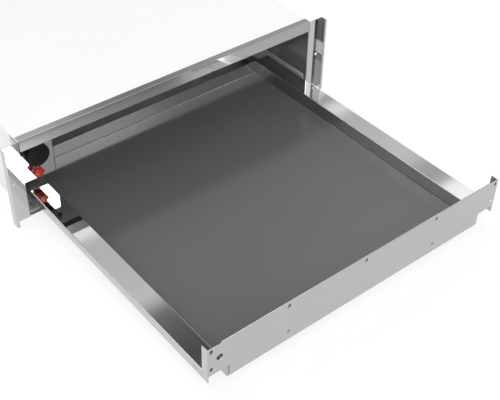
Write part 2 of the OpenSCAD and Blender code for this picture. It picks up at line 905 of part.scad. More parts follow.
module right_outer_balls() {
    ball_cage(false, slide_t + cage_gap, outer_ball_v, 0.25);
}

module left_inner_balls() {
    ball_cage(true, inner_cage_u, inner_ball_v, 0.75);
}

module right_inner_balls() {
    ball_cage(false, inner_cage_u, inner_ball_v, 0.75);
}

module tray_pan() {
    dy = -drawer_travel;
    y0 = front_back_y + dy;
    y1 = tray_end_y + dy;
    lip_y0 = front_flange_d - closed_standoff + lip_gap + dy;
    slot_y = lip_y0 + lip_slot_l;
    slot_z = ledge_z - 4;
    color("silver") difference() {
        union() {
            block([-tray_out, tray_out], [y0, y1], [tray_base_z, tray_base_z + tray_t]);
            block([-tray_out, tray_out], [y0, y0 + tray_t], [tray_base_z, ledge_z]);
            block([-tray_out, tray_out], [y1 - tray_t, y1], [tray_base_z, ledge_z]);
            for (left = [false, true]) on_side(left) {
                block([tray_x, tray_out], [y0, y1], [tray_base_z, ledge_z]);
                block([tray_x, ledge_front_x], [y0, y1], [ledge_z - tray_t, ledge_z]);
                block([tray_x, ledge_x], [lip_y0, y1], [ledge_z - tray_t, ledge_z]);
                block([ledge_x - tray_t, ledge_x], [lip_y0, y1],
                    [ledge_z - ledge_lip_h, ledge_z]);
            }
        }
        for (left = [false, true]) on_side(left)
            block([ledge_x - 2, ledge_x + 1], [slot_y, slot_y + lip_slot_l],
                [slot_z - lip_slot_h, slot_z]);
    }
}

module warming_plate() {
    z0 = tray_base_z + tray_t;
    color([0.2, 0.2, 0.2])
        block([-tray_x, tray_x], [tray_in_y - drawer_travel, tray_rear_y - drawer_travel],
            [z0, z0 + warm_plate_t]);
}

// Every fixing hole of the front plate, from the named insets and pitches
module front_holes(y) {
    upper = front_top_z - upper_slot_drop;
    for (s = [-1, 1]) {
        for (dz = [0, outer_slot_pitch])
            upright_slot(s * (front_w / 2 - outer_slot_inset), upper - dz, y);
        for (dz = [0, inner_slot_pitch]) upright_slot(s * inner_slot_x, upper - dz, y);
    }
    upright_slot(0, upper, y);
    bar_y(tab_w - 2.7 - front_w / 2, (front_top_z + front_tab_z) / 2, y, adjust_hole_d / 2);
}

module front_plate() {
    half = front_w / 2;
    low = front_low_w / 2;
    y0 = -closed_standoff - drawer_travel;
    y1 = y0 + front_t;
    color("silver") difference() {
        union() {
            block([-half, half], [y0, y1], [front_tab_z, front_top_z - tab_drop]);
            block([tab_w - half, half - tab_w], [y0, y1], [front_tab_z, front_top_z]);
            block([-low, low], [y0, y1], [front_low_z, front_tab_z + eps]);
            for (left = [false, true]) on_side(left)
                block([half - front_t, half], [y0, y0 + front_flange_d],
                    [ledge_z - ledge_lip_h, front_top_z - tab_drop]);
        }
        front_holes([y0 - 1, y1 + 1]);
    }
}

// A screw along the width with its head outside
module side_screw(y, z, seat) {
    bar_x(y, z, [seat - 3.4, seat + eps], screw_r);
    bar_x(y, z, [seat, seat + screw_head_h], screw_head_r);
}

// A screw along the depth with its head to the rear
module rear_screw(x, z, seat) {
    bar_y(x, z, [seat - 3, seat + eps], screw_r);
    bar_y(x, z, [seat, seat + screw_head_h], screw_head_r);
}

module chassis_screws() {
    bracket_seat = case_t + bracket_t;
    color("silver") {
        for (left = [false, true]) on_side(left) {
            for (z = plate_screws) side_screw(plate_screw_y, z, plate_flange_x);
            for (y = skirt_screws) side_screw(y, skirt_screw_z, skirt_x);
            for (y = bracket_screws) {
                bar_z(bracket_screw_x, y, [0.2, bracket_seat + eps], screw_r);
                bar_z(bracket_screw_x, y, [bracket_seat, bracket_seat + screw_head_h],
                    screw_head_r);
            }
        }
        for (s = [-1, 1], z = back_screws) rear_screw(s * back_screw_x, z, case_d);
        for (x = cover_screws, z = [cover_low - cover_flange / 2, cover_high + cover_flange / 2])
            rear_screw(x, z, case_d + case_t);
    }
}

chassis_floor();
left_side_panel();
right_side_panel();
back_panel();
top_cover();
ceiling_panel();
ceiling_insulation();
top_rail();
left_mounting_plate();
right_mounting_plate();
control_panel();
control_box_cover();
thermostat_body();
thermostat_nut();
thermostat_shaft();
thermostat_knob();
selector_body();
selector_nut();
selector_shaft();
selector_knob();
capillary_sensor();
sensor_clips();
fan_baffle();
fan_motor();
fan_shaft();
fan_impeller();
heater_element();
heater_bushings();
heater_clips();
thermal_cutout();
terminal_block();
wiring_loom();
cable_gland();
rear_cover();
rear_bumpers();
left_slide_bracket();
right_slide_bracket();
left_outer_rail();
right_outer_rail();
left_middle_rail();
right_middle_rail();
left_outer_balls();
right_outer_balls();
left_inner_balls();
right_inner_balls();
left_inner_rail();
right_inner_rail();
tray_pan();
warming_plate();
front_plate();
chassis_screws();
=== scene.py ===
import math

import bmesh
import bpy
from mathutils import Matrix, Vector


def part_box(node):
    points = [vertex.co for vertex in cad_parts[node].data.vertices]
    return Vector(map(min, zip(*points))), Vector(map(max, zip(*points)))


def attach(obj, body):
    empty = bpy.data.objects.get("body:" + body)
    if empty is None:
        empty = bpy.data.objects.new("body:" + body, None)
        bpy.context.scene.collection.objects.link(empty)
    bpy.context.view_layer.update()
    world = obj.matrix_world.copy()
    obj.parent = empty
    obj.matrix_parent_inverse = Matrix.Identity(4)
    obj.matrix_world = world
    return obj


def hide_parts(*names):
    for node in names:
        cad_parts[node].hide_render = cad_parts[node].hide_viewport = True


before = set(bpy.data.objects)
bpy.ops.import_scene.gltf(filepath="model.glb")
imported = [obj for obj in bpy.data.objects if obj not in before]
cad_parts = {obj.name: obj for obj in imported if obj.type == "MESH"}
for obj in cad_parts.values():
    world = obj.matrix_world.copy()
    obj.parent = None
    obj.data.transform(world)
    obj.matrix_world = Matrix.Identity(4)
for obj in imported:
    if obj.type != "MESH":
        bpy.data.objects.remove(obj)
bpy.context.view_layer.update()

scene = bpy.context.scene


# Studio: a white room seen by the camera, a long lens in front and to the left, and soft
# light from all round. Polished sheet also mirrors broad light and dark bands of the room,
# which run level from left to right above and behind the drawer.
def add(tree, kind, inputs=None, **settings):
    made = tree.nodes.new(kind)
    for key, value in settings.items():
        setattr(made, key, value)
    for key, value in (inputs or {}).items():
        socket = made.inputs[key]
        if isinstance(value, bpy.types.NodeSocket):
            tree.links.new(value, socket)
        else:
            socket.default_value = value
    return made


def math_node(tree, operation, first, second=0.0):
    return add(tree, "ShaderNodeMath", {0: first, 1: second}, operation=operation).outputs[0]


def mix_value(tree, share, first, second):
    return add(tree, "ShaderNodeMix", {"Factor": share, 2: first, 3: second}).outputs[0]


def map_range(tree, value, start, end, low=0.0, high=1.0, **settings):
    """Takes a value between start and end to the same share of low to high"""
    return add(tree, "ShaderNodeMapRange", {
        "Value": value, "From Min": start, "From Max": end, "To Min": low, "To Max": high,
    }, **settings).outputs[0]


def seen_directly(tree, ray):
    """1 for rays that come from the camera, also through clear parts, and 0 for all others"""
    return math_node(tree, "MAXIMUM", ray.outputs["Is Camera Ray"],
                     ray.outputs["Is Transmission Ray"])


def ramp(tree, factor, stops):
    made = add(tree, "ShaderNodeValToRGB", {"Fac": factor})
    elements = made.color_ramp.elements
    while len(elements) < len(stops):
        elements.new(0.5)
    for element, (place, tone) in zip(elements, stops):
        element.position = place
        element.color = (*tone, 1) if hasattr(tone, "__len__") else (tone, tone, tone, 1)
    return made.outputs["Color"]


def object_from(data, name):
    made = bpy.data.objects.new(name, data)
    scene.collection.objects.link(made)
    return made


# The camera, solved from the photograph's corner points: its place, the way it looks right
# of straight back and down from level, and its roll, in degrees
CAMERA_PLACE = (-0.6922, -1.2696, 0.9340)
CAMERA_RIGHT = 37.68
CAMERA_DOWN = 40.21
CAMERA_ROLL = 0.07

camera_data = bpy.data.cameras.new("camera")
camera_data.sensor_width = 36
camera_data.lens = 68.43
camera_data.shift_x = 0.0596
camera_data.shift_y = -0.0122
camera = object_from(camera_data, "camera")
camera.matrix_world = (
    Matrix.Translation(CAMERA_PLACE)
    @ Matrix.Rotation(math.radians(-CAMERA_RIGHT), 4, "Z")
    @ Matrix.Rotation(math.radians(90 - CAMERA_DOWN), 4, "X")
    @ Matrix.Rotation(math.radians(CAMERA_ROLL), 4, "Z")
)
scene.camera = camera
scene.view_settings.view_transform = "Standard"

# Brightness of the mirrored room, by an angle in degrees. REAR_RIGHT, REAR_LEFT,
# REAR_FAR_LEFT, OUTER and FRONT go by the height angle over the rear horizon, and LOW_REAR
# and the FRONT ones with SIDES by the side angle, to the right of straight back.
BRIGHTEST = 12.0
REAR_RIGHT = [
    (42.4, 0.50), (43.0, 1.25), (43.5, 1.18), (44.0, 0.44), (44.25, 0.50), (44.5, 0.88),
    (45.0, 1.24), (45.35, 1.10), (45.9, 0.76), (46.2, 0.74), (49.9, 0.89), (50.6, 0.88),
    (51.2, 0.80), (51.9, 0.60), (52.8, 0.58), (53.6, 0.68), (54.1, 1.50), (55.3, 1.60),
]
REAR_LEFT = [
    (42.4, 0.32), (43.0, 1.30), (43.5, 1.20), (44.0, 0.28), (44.2, 0.36), (44.5, 0.90),
    (45.1, 1.42), (45.4, 1.30), (45.9, 0.80), (46.2, 0.76), (49.9, 0.82), (50.6, 0.90),
    (51.1, 0.78), (51.6, 0.48), (52.0, 0.26), (53.2, 0.19), (55.3, 0.11), (57.0, 0.16),
]
REAR_FAR_LEFT = [
    (8, 0.05), (40, 0.10), (42.5, 0.6), (44.0, 0.8), (46.9, 1.7), (49.0, 2.5), (54.5, 3.4),
]
OUTER = [(0, 1.8), (20, 1.4), (40, 1.0), (58, 1.0), (62, 0.8), (84, 0.9), (92, 1.0), (180, 1.0)]
FRONT = [(95, 1.0), (120, 1.6), (135.2, 3.2), (136.4, 9.6), (156, 9.6), (164, 1.5), (178, 0.9)]
FRONT_SIDES = [
    (120, 0.24), (141, 0.20), (145.8, 0.24), (147.0, 0.36), (148.5, 0.80), (150.5, 1.0),
    (166, 1.0), (178, 0.5),
]
FRONT_LOW_SIDES = [
    (144.5, 0.13), (146.2, 0.13), (146.7, 1.0), (147.5, 0.95), (148.3, 0.76), (148.6, 0.18),
    (149.7, 0.15), (152.8, 0.24), (154.4, 0.30), (156, 0.41), (157.7, 0.44), (158.5, 0.68),
    (159.4, 1.0),
]
FRONT_LEFT = 1.25
LOW_REAR = [(22, 0.66), (25, 0.60), (28.7, 0.33), (32, 0.28), (35, 0.38), (38, 0.50), (43, 0.50)]
# Light of the room on matt surfaces, by the height angle: strongest from behind the drawer
SKY_LIGHT = [(0, 0.5), (12, 0.8), (20, 3.9), (38, 3.6), (52, 1.5), (60, 0.8), (180, 0.72)]

world = bpy.data.worlds.new("studio")
scene.world = world
world.use_nodes = True
room = world.node_tree
room.nodes.clear()
way = add(room, "ShaderNodeTexCoord")
way_xyz = add(room, "ShaderNodeSeparateXYZ", {0: way.outputs["Generated"]})
height_angle = math_node(room, "DEGREES", math_node(
    room, "ARCTAN2", way_xyz.outputs["Z"], way_xyz.outputs["Y"]))
side_angle = math_node(room, "DEGREES", math_node(
    room, "ARCTAN2", way_xyz.outputs["X"], way_xyz.outputs["Y"]))


def by_angle(angle, stops, highest):
    """The tone at an angle, from stops in degrees, with the tones up to the highest"""
    first, last = stops[0][0], stops[-1][0]
    tone = ramp(room, map_range(room, angle, first, last), [
        ((place - first) / (last - first), tone / highest) for place, tone in stops])
    return math_node(room, "MULTIPLY", tone, highest)


def blend_tones(angle, start, end, before, after):
    """One tone before the start angle and another after the end, with a soft change between"""
    share = map_range(room, angle, start, end, interpolation_type="SMOOTHSTEP")
    return mix_value(room, share, before, after)


# The bands change into each other between the two angles of each blend
rear = blend_tones(side_angle, 38, 50, by_angle(height_angle, REAR_LEFT, BRIGHTEST),
                   by_angle(height_angle, REAR_RIGHT, BRIGHTEST))
rear = blend_tones(height_angle, 39.5, 42, by_angle(side_angle, LOW_REAR, 1.0), rear)
rear = blend_tones(side_angle, -25, -5, by_angle(height_angle, REAR_FAR_LEFT, BRIGHTEST), rear)
rear = math_node(room, "MULTIPLY", rear, by_angle(height_angle, OUTER, BRIGHTEST))
front_low_sides = blend_tones(side_angle, 0, 20, FRONT_LEFT,
                              by_angle(side_angle, FRONT_LOW_SIDES, 1.0))
front_sides = blend_tones(height_angle, 143.5, 147, by_angle(side_angle, FRONT_SIDES, 1.0),
                          front_low_sides)
front = math_node(room, "MULTIPLY", by_angle(height_angle, FRONT, BRIGHTEST), front_sides)
mirrored = blend_tones(height_angle, 85, 100, rear, front)
is_above = math_node(room, "GREATER_THAN", way_xyz.outputs["Z"], 0.0)
ray = add(room, "ShaderNodeLightPath")
glossy_tone = mix_value(room, is_above, 1.0, mirrored)
seen_tone = mix_value(room, ray.outputs["Is Glossy Ray"],
                      by_angle(height_angle, SKY_LIGHT, BRIGHTEST), glossy_tone)
final_tone = mix_value(room, seen_directly(room, ray), seen_tone, 1.0)
sky = add(room, "ShaderNodeBackground", {"Color": final_tone})
add(room, "ShaderNodeOutputWorld", {"Surface": sky.outputs[0]})

softbox_data = bpy.data.lights.new("softbox", "AREA")
softbox_data.shape = "RECTANGLE"
softbox_data.size = 3.0
softbox_data.size_y = 2.0
softbox_data.energy = 45
softbox = object_from(softbox_data, "softbox")
softbox.location = (-0.9, -2.6, 2.6)
softbox.rotation_mode = "QUATERNION"
softbox.rotation_quaternion = (-softbox.location).to_track_quat("-Z", "Y")
softbox.visible_glossy = False


# The floor is a wide white sheet. It shows the drawer's soft shadow from above, and
# nothing from below, so that the underside can be seen.
FLOOR_REACH = 30
FLOOR_DROP = 0.0004
FLOOR_TONE = 0.90
FLOOR_WHITE = 0.80
FLOOR_MIRRORED_SHARE = 0.85
# Mirrored in bright steel, it has painted light at the far left, where it is paler, and a
# painted shadow in a patch in front on the right, where it is dimmer. Each of their edges
# goes from one tone to the other between two places.
FLOOR_MIRRORED_TONE = 0.83
FLOOR_MIRRORED_PAINTED_LIGHT_TONE = 0.95
FLOOR_MIRRORED_SHADOW_TONE = 0.57
FLOOR_LEFT_EDGE_X = (-0.266, -0.262)
FLOOR_SHADOW_EDGE_X = (0.27, 0.30)
FLOOR_SHADOW_EDGES_Y = ((-0.66, -0.62), (-0.45, -0.48))

floor_mesh = bpy.data.meshes.new("floor")
floor_mesh.from_pydata(
    [(x * FLOOR_REACH, y * FLOOR_REACH, -FLOOR_DROP)
     for x, y in ((-1, -1), (1, -1), (1, 1), (-1, 1))],
    [], [(0, 1, 2, 3)],
)
floor = object_from(floor_mesh, "floor")
paper = bpy.data.materials.new("white floor")
paper.use_nodes = True
paper_tree = paper.node_tree
paper_tree.nodes.clear()
paper_ray = add(paper_tree, "ShaderNodeLightPath")
shadowed = add(paper_tree, "ShaderNodeBsdfDiffuse", {
    "Color": (FLOOR_TONE, FLOOR_TONE, FLOOR_TONE, 1)})
paper_spot = add(paper_tree, "ShaderNodeSeparateXYZ", {
    0: paper_tree.nodes.new("ShaderNodeTexCoord").outputs["Object"]}).outputs
# Painted shadow: a darker tone, seen only in mirrors, over a patch in front on the right
painted_shadow = map_range(paper_tree, paper_spot["X"], *FLOOR_SHADOW_EDGE_X)
for clear_y, shadow_y in FLOOR_SHADOW_EDGES_Y:
    share = map_range(paper_tree, paper_spot["Y"], clear_y, shadow_y)
    painted_shadow = math_node(paper_tree, "MULTIPLY", painted_shadow, share)
# Painted light: a paler tone, seen only in mirrors, at the far left
left_light_tone = map_range(paper_tree, paper_spot["X"], *FLOOR_LEFT_EDGE_X,
                      FLOOR_MIRRORED_PAINTED_LIGHT_TONE, FLOOR_MIRRORED_TONE)
mirrored_tone = map_range(paper_tree, painted_shadow, 0.0, 1.0, left_light_tone, FLOOR_MIRRORED_SHADOW_TONE)
is_glossy = paper_ray.outputs["Is Glossy Ray"]
bright_tone = mix_value(paper_tree, is_glossy, 1.0, mirrored_tone)
bright = add(paper_tree, "ShaderNodeEmission", {"Color": bright_tone})
seen_white = seen_directly(paper_tree, paper_ray)
white_share = math_node(paper_tree, "ADD",
                        math_node(paper_tree, "MULTIPLY", seen_white, FLOOR_WHITE),
                        math_node(paper_tree, "MULTIPLY", is_glossy, FLOOR_MIRRORED_SHARE))
lit = add(paper_tree, "ShaderNodeMixShader", {
    0: white_share, 1: shadowed.outputs[0], 2: bright.outputs[0],
})
clear = add(paper_tree, "ShaderNodeBsdfTransparent")
side = add(paper_tree, "ShaderNodeNewGeometry")
paper_face = add(paper_tree, "ShaderNodeMixShader", {
    0: side.outputs["Backfacing"], 1: lit.outputs[0], 2: clear.outputs[0],
})
add(paper_tree, "ShaderNodeOutputMaterial", {"Surface": paper_face.outputs[0]})
floor_mesh.materials.append(paper)


# Casing: sheets of steel, one millimetre thick and screwed together. The floor and the back
# are zinc-coated, with vents. Each side is folded at the rear, where the back panel is
# screwed to it, and is white powder-coated outside and smooth bare steel inside.
STEEL_T = 0.001
CASING_BEND = 0.0014
CASING_EDGE = 0.00025


def node_group(name, kind, inputs, outputs):
    """An empty group of nodes with its named inputs and outputs"""
    tree = bpy.data.node_groups.new(name, kind)
    for label, holds, value in inputs:
        socket = tree.interface.new_socket(label, in_out="INPUT", socket_type=holds)
        if value is not None:
            socket.default_value = value
    for label, holds in outputs:
        tree.interface.new_socket(label, in_out="OUTPUT", socket_type=holds)
    return tree, tree.nodes.new("NodeGroupInput").outputs, tree.nodes.new("NodeGroupOutput").inputs


def mask_of(tree, group, where, inputs):
    """The mask that one of the groups below makes at the given place"""
    made = add(tree, "ShaderNodeGroup", {"Where": where, **inputs}, node_tree=group)
    return made.outputs["Mask"]


def new_material(name, **settings):
    """A material with one Principled shader, whose plain values are set on its sockets"""
    material = bpy.data.materials.new(name)
    material.use_nodes = True
    tree = material.node_tree
    tree.nodes.clear()
    shader = tree.nodes.new("ShaderNodeBsdfPrincipled")
    add(tree, "ShaderNodeOutputMaterial", {"Surface": shader.outputs[0]})
    for key, value in settings.items():
        shader.inputs[key.replace("_", " ")].default_value = value
    where = tree.nodes.new("ShaderNodeTexCoord").outputs["Object"]
    return material, tree, shader.inputs, where


def noise(tree, where, scale, detail):
    return add(tree, "ShaderNodeTexNoise", {
        "Vector": where, "Scale": scale, "Detail": detail}).outputs["Fac"]


def set_tone(tree, shader, mask, dark, pale):
    made = add(tree, "ShaderNodeMix", {"Factor": mask, 6: (*dark, 1), 7: (*pale, 1)},
               data_type="RGBA")
    tree.links.new(made.outputs[2], shader["Base Color"])


def set_roughness(tree, shader, mask, low, high):
    tree.links.new(map_range(tree, mask, 0.0, 1.0, low, high), shader["Roughness"])


def set_bump(tree, shader, height, strength, distance):
    bump = add(tree, "ShaderNodeBump", {
        "Height": height, "Strength": strength, "Distance": distance})
    tree.links.new(bump.outputs[0], shader["Normal"])


# Cloudiness: slow, soft mottling with a finer one inside it
cloud, cloud_in, cloud_out = node_group(
    "cloudiness", "ShaderNodeTree",
    [("Where", "NodeSocketVector", None), ("Scale", "NodeSocketFloat", 12.0),
     ("Fine share", "NodeSocketFloat", 0.4)],
    [("Mask", "NodeSocketFloat")],
)
fine_scale = math_node(cloud, "MULTIPLY", cloud_in["Scale"], 9.0)
both = mix_value(cloud, cloud_in["Fine share"],
                 noise(cloud, cloud_in["Where"], cloud_in["Scale"], 3.0),
                 noise(cloud, cloud_in["Where"], fine_scale, 4.0))
cloud.links.new(both, cloud_out["Mask"])

# Grain: fine straight lines left by rolling or brushing, long in one direction
grain, grain_in, grain_out = node_group(
    "grain", "ShaderNodeTree",
    [("Where", "NodeSocketVector", None), ("Stretch", "NodeSocketVector", (1.0, 1.0, 1.0)),
     ("Scale", "NodeSocketFloat", 900.0)],
    [("Mask", "NodeSocketFloat")],
)
stretched = add(grain, "ShaderNodeVectorMath", {
    0: grain_in["Where"], 1: grain_in["Stretch"]}, operation="MULTIPLY")
grain.links.new(noise(grain, stretched.outputs[0], grain_in["Scale"], 2.0), grain_out["Mask"])


def one_mask_finish(name, group, inputs, dark, pale, rough, **settings):
    """A material whose tone and roughness both follow the mask of one shader group"""
    material, tree, shader, where = new_material(name, **settings)
    mask = mask_of(tree, group, where, inputs)
    set_tone(tree, shader, mask, dark, pale)
    set_roughness(tree, shader, mask, *rough)
    return material


def zinc_sheet(name, tone, spangle, metallic):
    material, tree, shader, where = new_material(name, Metallic=metallic)
    cells = add(tree, "ShaderNodeTexVoronoi", {"Vector": where, "Scale": spangle})
    cell_tone = add(tree, "ShaderNodeSeparateColor", {0: cells.outputs["Color"]}).outputs[0]
    mottle = mask_of(tree, cloud, where, {"Scale": 9.0})
    share = math_node(tree, "MULTIPLY", cell_tone, 0.55)
    share = math_node(tree, "ADD", share, math_node(tree, "MULTIPLY", mottle, 0.6))
    set_tone(tree, shader, share, (tone * 0.88, tone * 0.885, tone * 0.89),
             (tone * 1.06, tone * 1.065, tone * 1.07))
    set_roughness(tree, shader, share, 0.42, 0.30)
    set_bump(tree, shader, share, 0.12, 0.0002)
    return material


zinc = zinc_sheet("zinc-coated sheet", 0.58, 130.0, 0.6)
liner = one_mask_finish("smooth steel liner", cloud, {"Scale": 14.0}, (0.42, 0.42, 0.42),
                        (0.50, 0.50, 0.50), (0.22, 0.3), Metallic=0.85)
coat, coat_tree, coat_shader, coat_where = new_material(
    "white powder coat", Specular_IOR_Level=0.04)
peel = noise(coat_tree, coat_where, 650.0, 2.0)
coat_mottle = mask_of(coat_tree, cloud, coat_where, {"Scale": 7.0})
set_tone(coat_tree, coat_shader, coat_mottle, (0.655, 0.655, 0.65), (0.705, 0.705, 0.70))
set_roughness(coat_tree, coat_shader, peel, 0.38, 0.5)
set_bump(coat_tree, coat_shader, peel, 0.15, 0.0003)


def piece_from(work, name):
    """A piece of the mesh being built, its faces turned outward"""
    bmesh.ops.recalc_face_normals(work, faces=work.faces)
    mesh = bpy.data.meshes.new(name)
    work.to_mesh(mesh)
    work.free()
    return object_from(mesh, name)


def bake(piece):
    """Turns what the piece's modifiers make into its plain mesh"""
    evaluated = piece.evaluated_get(bpy.context.evaluated_depsgraph_get())
    mesh = bpy.data.meshes.new_from_object(evaluated)
    piece.modifiers.clear()
    piece.data = mesh


BLOCK_FACES = ((0, 1, 3, 2), (4, 6, 7, 5), (0, 4, 5, 1), (2, 3, 7, 6), (0, 2, 6, 4), (1, 5, 7, 3))


def add_block(work, low, high):
    """Puts a closed block between two corners into the mesh being built"""
    corner = [[low[i], high[i]] for i in range(3)]
    verts = [work.verts.new((x, y, z)) for x in corner[0] for y in corner[1] for z in corner[2]]
    for face in BLOCK_FACES:
        work.faces.new([verts[i] for i in face])


def block(name, low, high):
    work = bmesh.new()
    add_block(work, low, high)
    return piece_from(work, name)


BEND_STEPS = 6


def rounded_path(corners, radius):
    """Samples of a line with rounded corners, or mitred ones where the radius is 0: each is a
    point and the line's left normal"""
    points = [Vector(corner) for corner in corners]
    bends = radius if hasattr(radius, "__len__") else [radius] * (len(points) - 2)
    ways = [(b - a).normalized() for a, b in zip(points, points[1:])]
    left = [Vector((-way.y, way.x)) for way in ways]
    samples = [(points[0], left[0])]
    for i in range(1, len(points) - 1):
        turn = math.atan2(ways[i - 1].cross(ways[i]), ways[i - 1].dot(ways[i]))
        sense = math.copysign(1, turn)
        bend = bends[i - 1]
        if not bend:
            both = left[i - 1] + left[i]
            samples.append((points[i], both / (1 + left[i - 1].dot(left[i]))))
            continue
        start = points[i] - ways[i - 1] * bend * math.tan(abs(turn) / 2)
        centre = start + left[i - 1] * bend * sense
        for step in range(BEND_STEPS + 1):
            spin = Matrix.Rotation(turn * step / BEND_STEPS, 2)
            normal = spin @ left[i - 1]
            samples.append((centre - normal * bend * sense, normal))
    samples.append((points[-1], left[-1]))
    return samples


# Which two axes a folded sheet's outline lies in, by the axis that it is drawn along
OUTLINE_AXES = {"x": (1, 2, 0), "y": (0, 2, 1), "z": (0, 1, 2)}


def add_fold(work, corners, thickness, radius, axis, span):
    """Puts a folded sheet into the mesh: its middle line in two axes, drawn along the third"""
    first, second, along = OUTLINE_AXES[axis]
    rows = []
    for place in span:
        row = []
        for point, normal in rounded_path(corners, radius):
            pair = []
            for side in (0.5, -0.5):
                spot = [0.0, 0.0, 0.0]
                spot[first] = point.x + normal.x * thickness * side
                spot[second] = point.y + normal.y * thickness * side
                spot[along] = place
                pair.append(work.verts.new(spot))
            row.append(pair)
        rows.append(row)
    near, far = rows
    for (a, b), (c, d), (e, f), (g, h) in zip(near, near[1:], far, far[1:]):
        for face in ((a, c, g, e), (b, f, h, d), (a, b, d, c), (e, g, h, f)):
            work.faces.new(face)
    for pair, other in ((near[0], far[0]), (near[-1], far[-1])):
        work.faces.new((pair[0], other[0], other[1], pair[1]))


def fold(name, *shape):
    work = bmesh.new()
    add_fold(work, *shape)
    return piece_from(work, name)


# The size at which a copy is as large as the piece that it is made from
AS_MADE = 1.0


def copies_tree(name, cuts):
    """Copies of a small piece at marked places, each turned to face its own way. They are
    either left as they are or cut out of the piece that carries the modifier."""
    tree, given, result = node_group(
        name, "GeometryNodeTree",
        [("Geometry", "NodeSocketGeometry", None), ("Places", "NodeSocketObject", None),
         ("Copied piece", "NodeSocketObject", None), ("Size", "NodeSocketFloat", AS_MADE),
         ("Material", "NodeSocketMaterial", None)],
        [("Geometry", "NodeSocketGeometry")],
    )
    places = add(tree, "GeometryNodeObjectInfo", {"Object": given["Places"]})
    copied = add(tree, "GeometryNodeObjectInfo", {"Object": given["Copied piece"]})
    facing = add(tree, "GeometryNodeInputNamedAttribute", {"Name": "facing"},
                 data_type="FLOAT_VECTOR")
    turned = add(tree, "FunctionNodeAlignRotationToVector",
                 {"Vector": facing.outputs["Attribute"]}, axis="Z")
    points = add(tree, "GeometryNodeMeshToPoints", {"Mesh": places.outputs["Geometry"]})
    spread = add(tree, "GeometryNodeInstanceOnPoints", {
        "Points": points.outputs[0], "Instance": copied.outputs["Geometry"],
        "Rotation": turned.outputs[0], "Scale": given["Size"]})
    solid = add(tree, "GeometryNodeRealizeInstances", {"Geometry": spread.outputs[0]}).outputs[0]
    if cuts:
        made = add(tree, "GeometryNodeMeshBoolean", {"Mesh 1": given["Geometry"]},
                   operation="DIFFERENCE", solver="EXACT")
        tree.links.new(solid, made.inputs["Mesh 2"])
        solid = made.outputs["Mesh"]
    painted = add(tree, "GeometryNodeSetMaterial", {
        "Geometry": solid, "Material": given["Material"]})
    tree.links.new(painted.outputs[0], result["Geometry"])
    return tree


punch_tree = copies_tree("punched holes", True)
copy_tree = copies_tree("copies at places", False)


def marks(name, spots, ways):
    """A mesh of bare points, each with the way that its copy faces"""
    mesh = bpy.data.meshes.new(name)
    mesh.from_pydata(spots, [], [])
    facing = mesh.attributes.new("facing", "FLOAT_VECTOR", "POINT")
    for item, way in zip(facing.data, ways):
        item.vector = way
    return object_from(mesh, name)


def run_tree(piece, tree, spots, ways, copied, material):
    """Runs one of the two trees on a piece and turns the result into its plain mesh"""
    modifier = piece.modifiers.new(tree.name, "NODES")
    modifier.node_group = tree
    places = marks(piece.name + " places", spots, ways)
    values = {"Places": places, "Copied piece": copied, "Size": AS_MADE, "Material": material}
    for item in tree.interface.items_tree:
        if item.in_out == "INPUT" and item.name in values:
            modifier[item.identifier] = values[item.name]
    bake(piece)
    for spent in (places, copied):
        bpy.data.objects.remove(spent)


def punch(piece, tool, material, *spots, way=(0, 0, 1)):
    """Cuts the tool's shape out of a piece at each spot, with the tool's Z turned that way"""
    run_tree(piece, punch_tree, spots, [way] * len(spots), tool, material)


# Edges that turn by more than this many degrees are rounded, and faces nearer to an axis
# than this cosine are flat ones
SHARP_FROM = 40
SQUARE = 0.9999


def add_edge_round(piece, width, segments):
    bevel = piece.modifiers.new("edge round", "BEVEL")
    bevel.width = width
    bevel.segments = segments
    bevel.limit_method = "ANGLE"
    bevel.angle_limit = math.radians(SHARP_FROM)


def soften(piece, width, segments=2):
    """A small round on every sharp edge. Faces square to the axes are shaded flat."""
    add_edge_round(piece, width, segments)
    bake(piece)
    for face in piece.data.polygons:
        face.use_smooth = max(abs(value) for value in face.normal) < SQUARE


def dress(piece, material, body, slot, *nodes):
    """Gives a piece its material and body, and lets it stand for its CAD nodes. Its slot is not
    used.
    """
    piece.data.materials.clear()
    piece.data.materials.append(material)
    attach(piece, body)
    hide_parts(*nodes)


PUNCH_DEPTH = 0.004


def slot_punch(name, width, length):
    """A punch for slots: round ends, long along Y, pressed through along Z"""
    work = bmesh.new()
    reach = (length - width) / 2
    rim = []
    for centre, start in ((reach, 0), (-reach, 180)):
        for step in range(13):
            angle = math.radians(start + step * 15)
            rim.append((math.cos(angle) * width / 2, centre + math.sin(angle) * width / 2))
    rings = [[work.verts.new((x, y, z)) for x, y in rim] for z in (-PUNCH_DEPTH, PUNCH_DEPTH)]
    for i in range(len(rim)):
        j = (i + 1) % len(rim)
        work.faces.new((rings[0][i], rings[0][j], rings[1][j], rings[1][i]))
    work.faces.new(rings[0][::-1])
    work.faces.new(rings[1])
    return piece_from(work, name)


def round_punch(name, radius):
    work = bmesh.new()
    bmesh.ops.create_cone(work, cap_ends=True, segments=32, radius1=radius,
                          radius2=radius, depth=2 * PUNCH_DEPTH)
    return piece_from(work, name)


FLOOR_VENT_W, FLOOR_VENT_L, FLOOR_VENT_PITCH = 0.005, 0.035, 0.06
FLOOR_VENT_ROWS = (0.030, 0.045)
floor_low, floor_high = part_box("chassis_floor")
back_low, back_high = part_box("back_panel")
casing_floor = block("floor_sheet", floor_low, floor_high)
vent_punch = slot_punch("vent punch", FLOOR_VENT_W, FLOOR_VENT_L)
vent_punch.data.transform(Matrix.Rotation(math.radians(90), 4, "Z"))
punch(casing_floor, vent_punch, zinc, *(
    (column * FLOOR_VENT_PITCH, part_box("fan_baffle")[0].y - row, floor_low.z)
    for column in range(-2, 3) for row in FLOOR_VENT_ROWS))
soften(casing_floor, CASING_EDGE)
dress(casing_floor, zinc, "chassis", "zinc_steel", "chassis_floor")

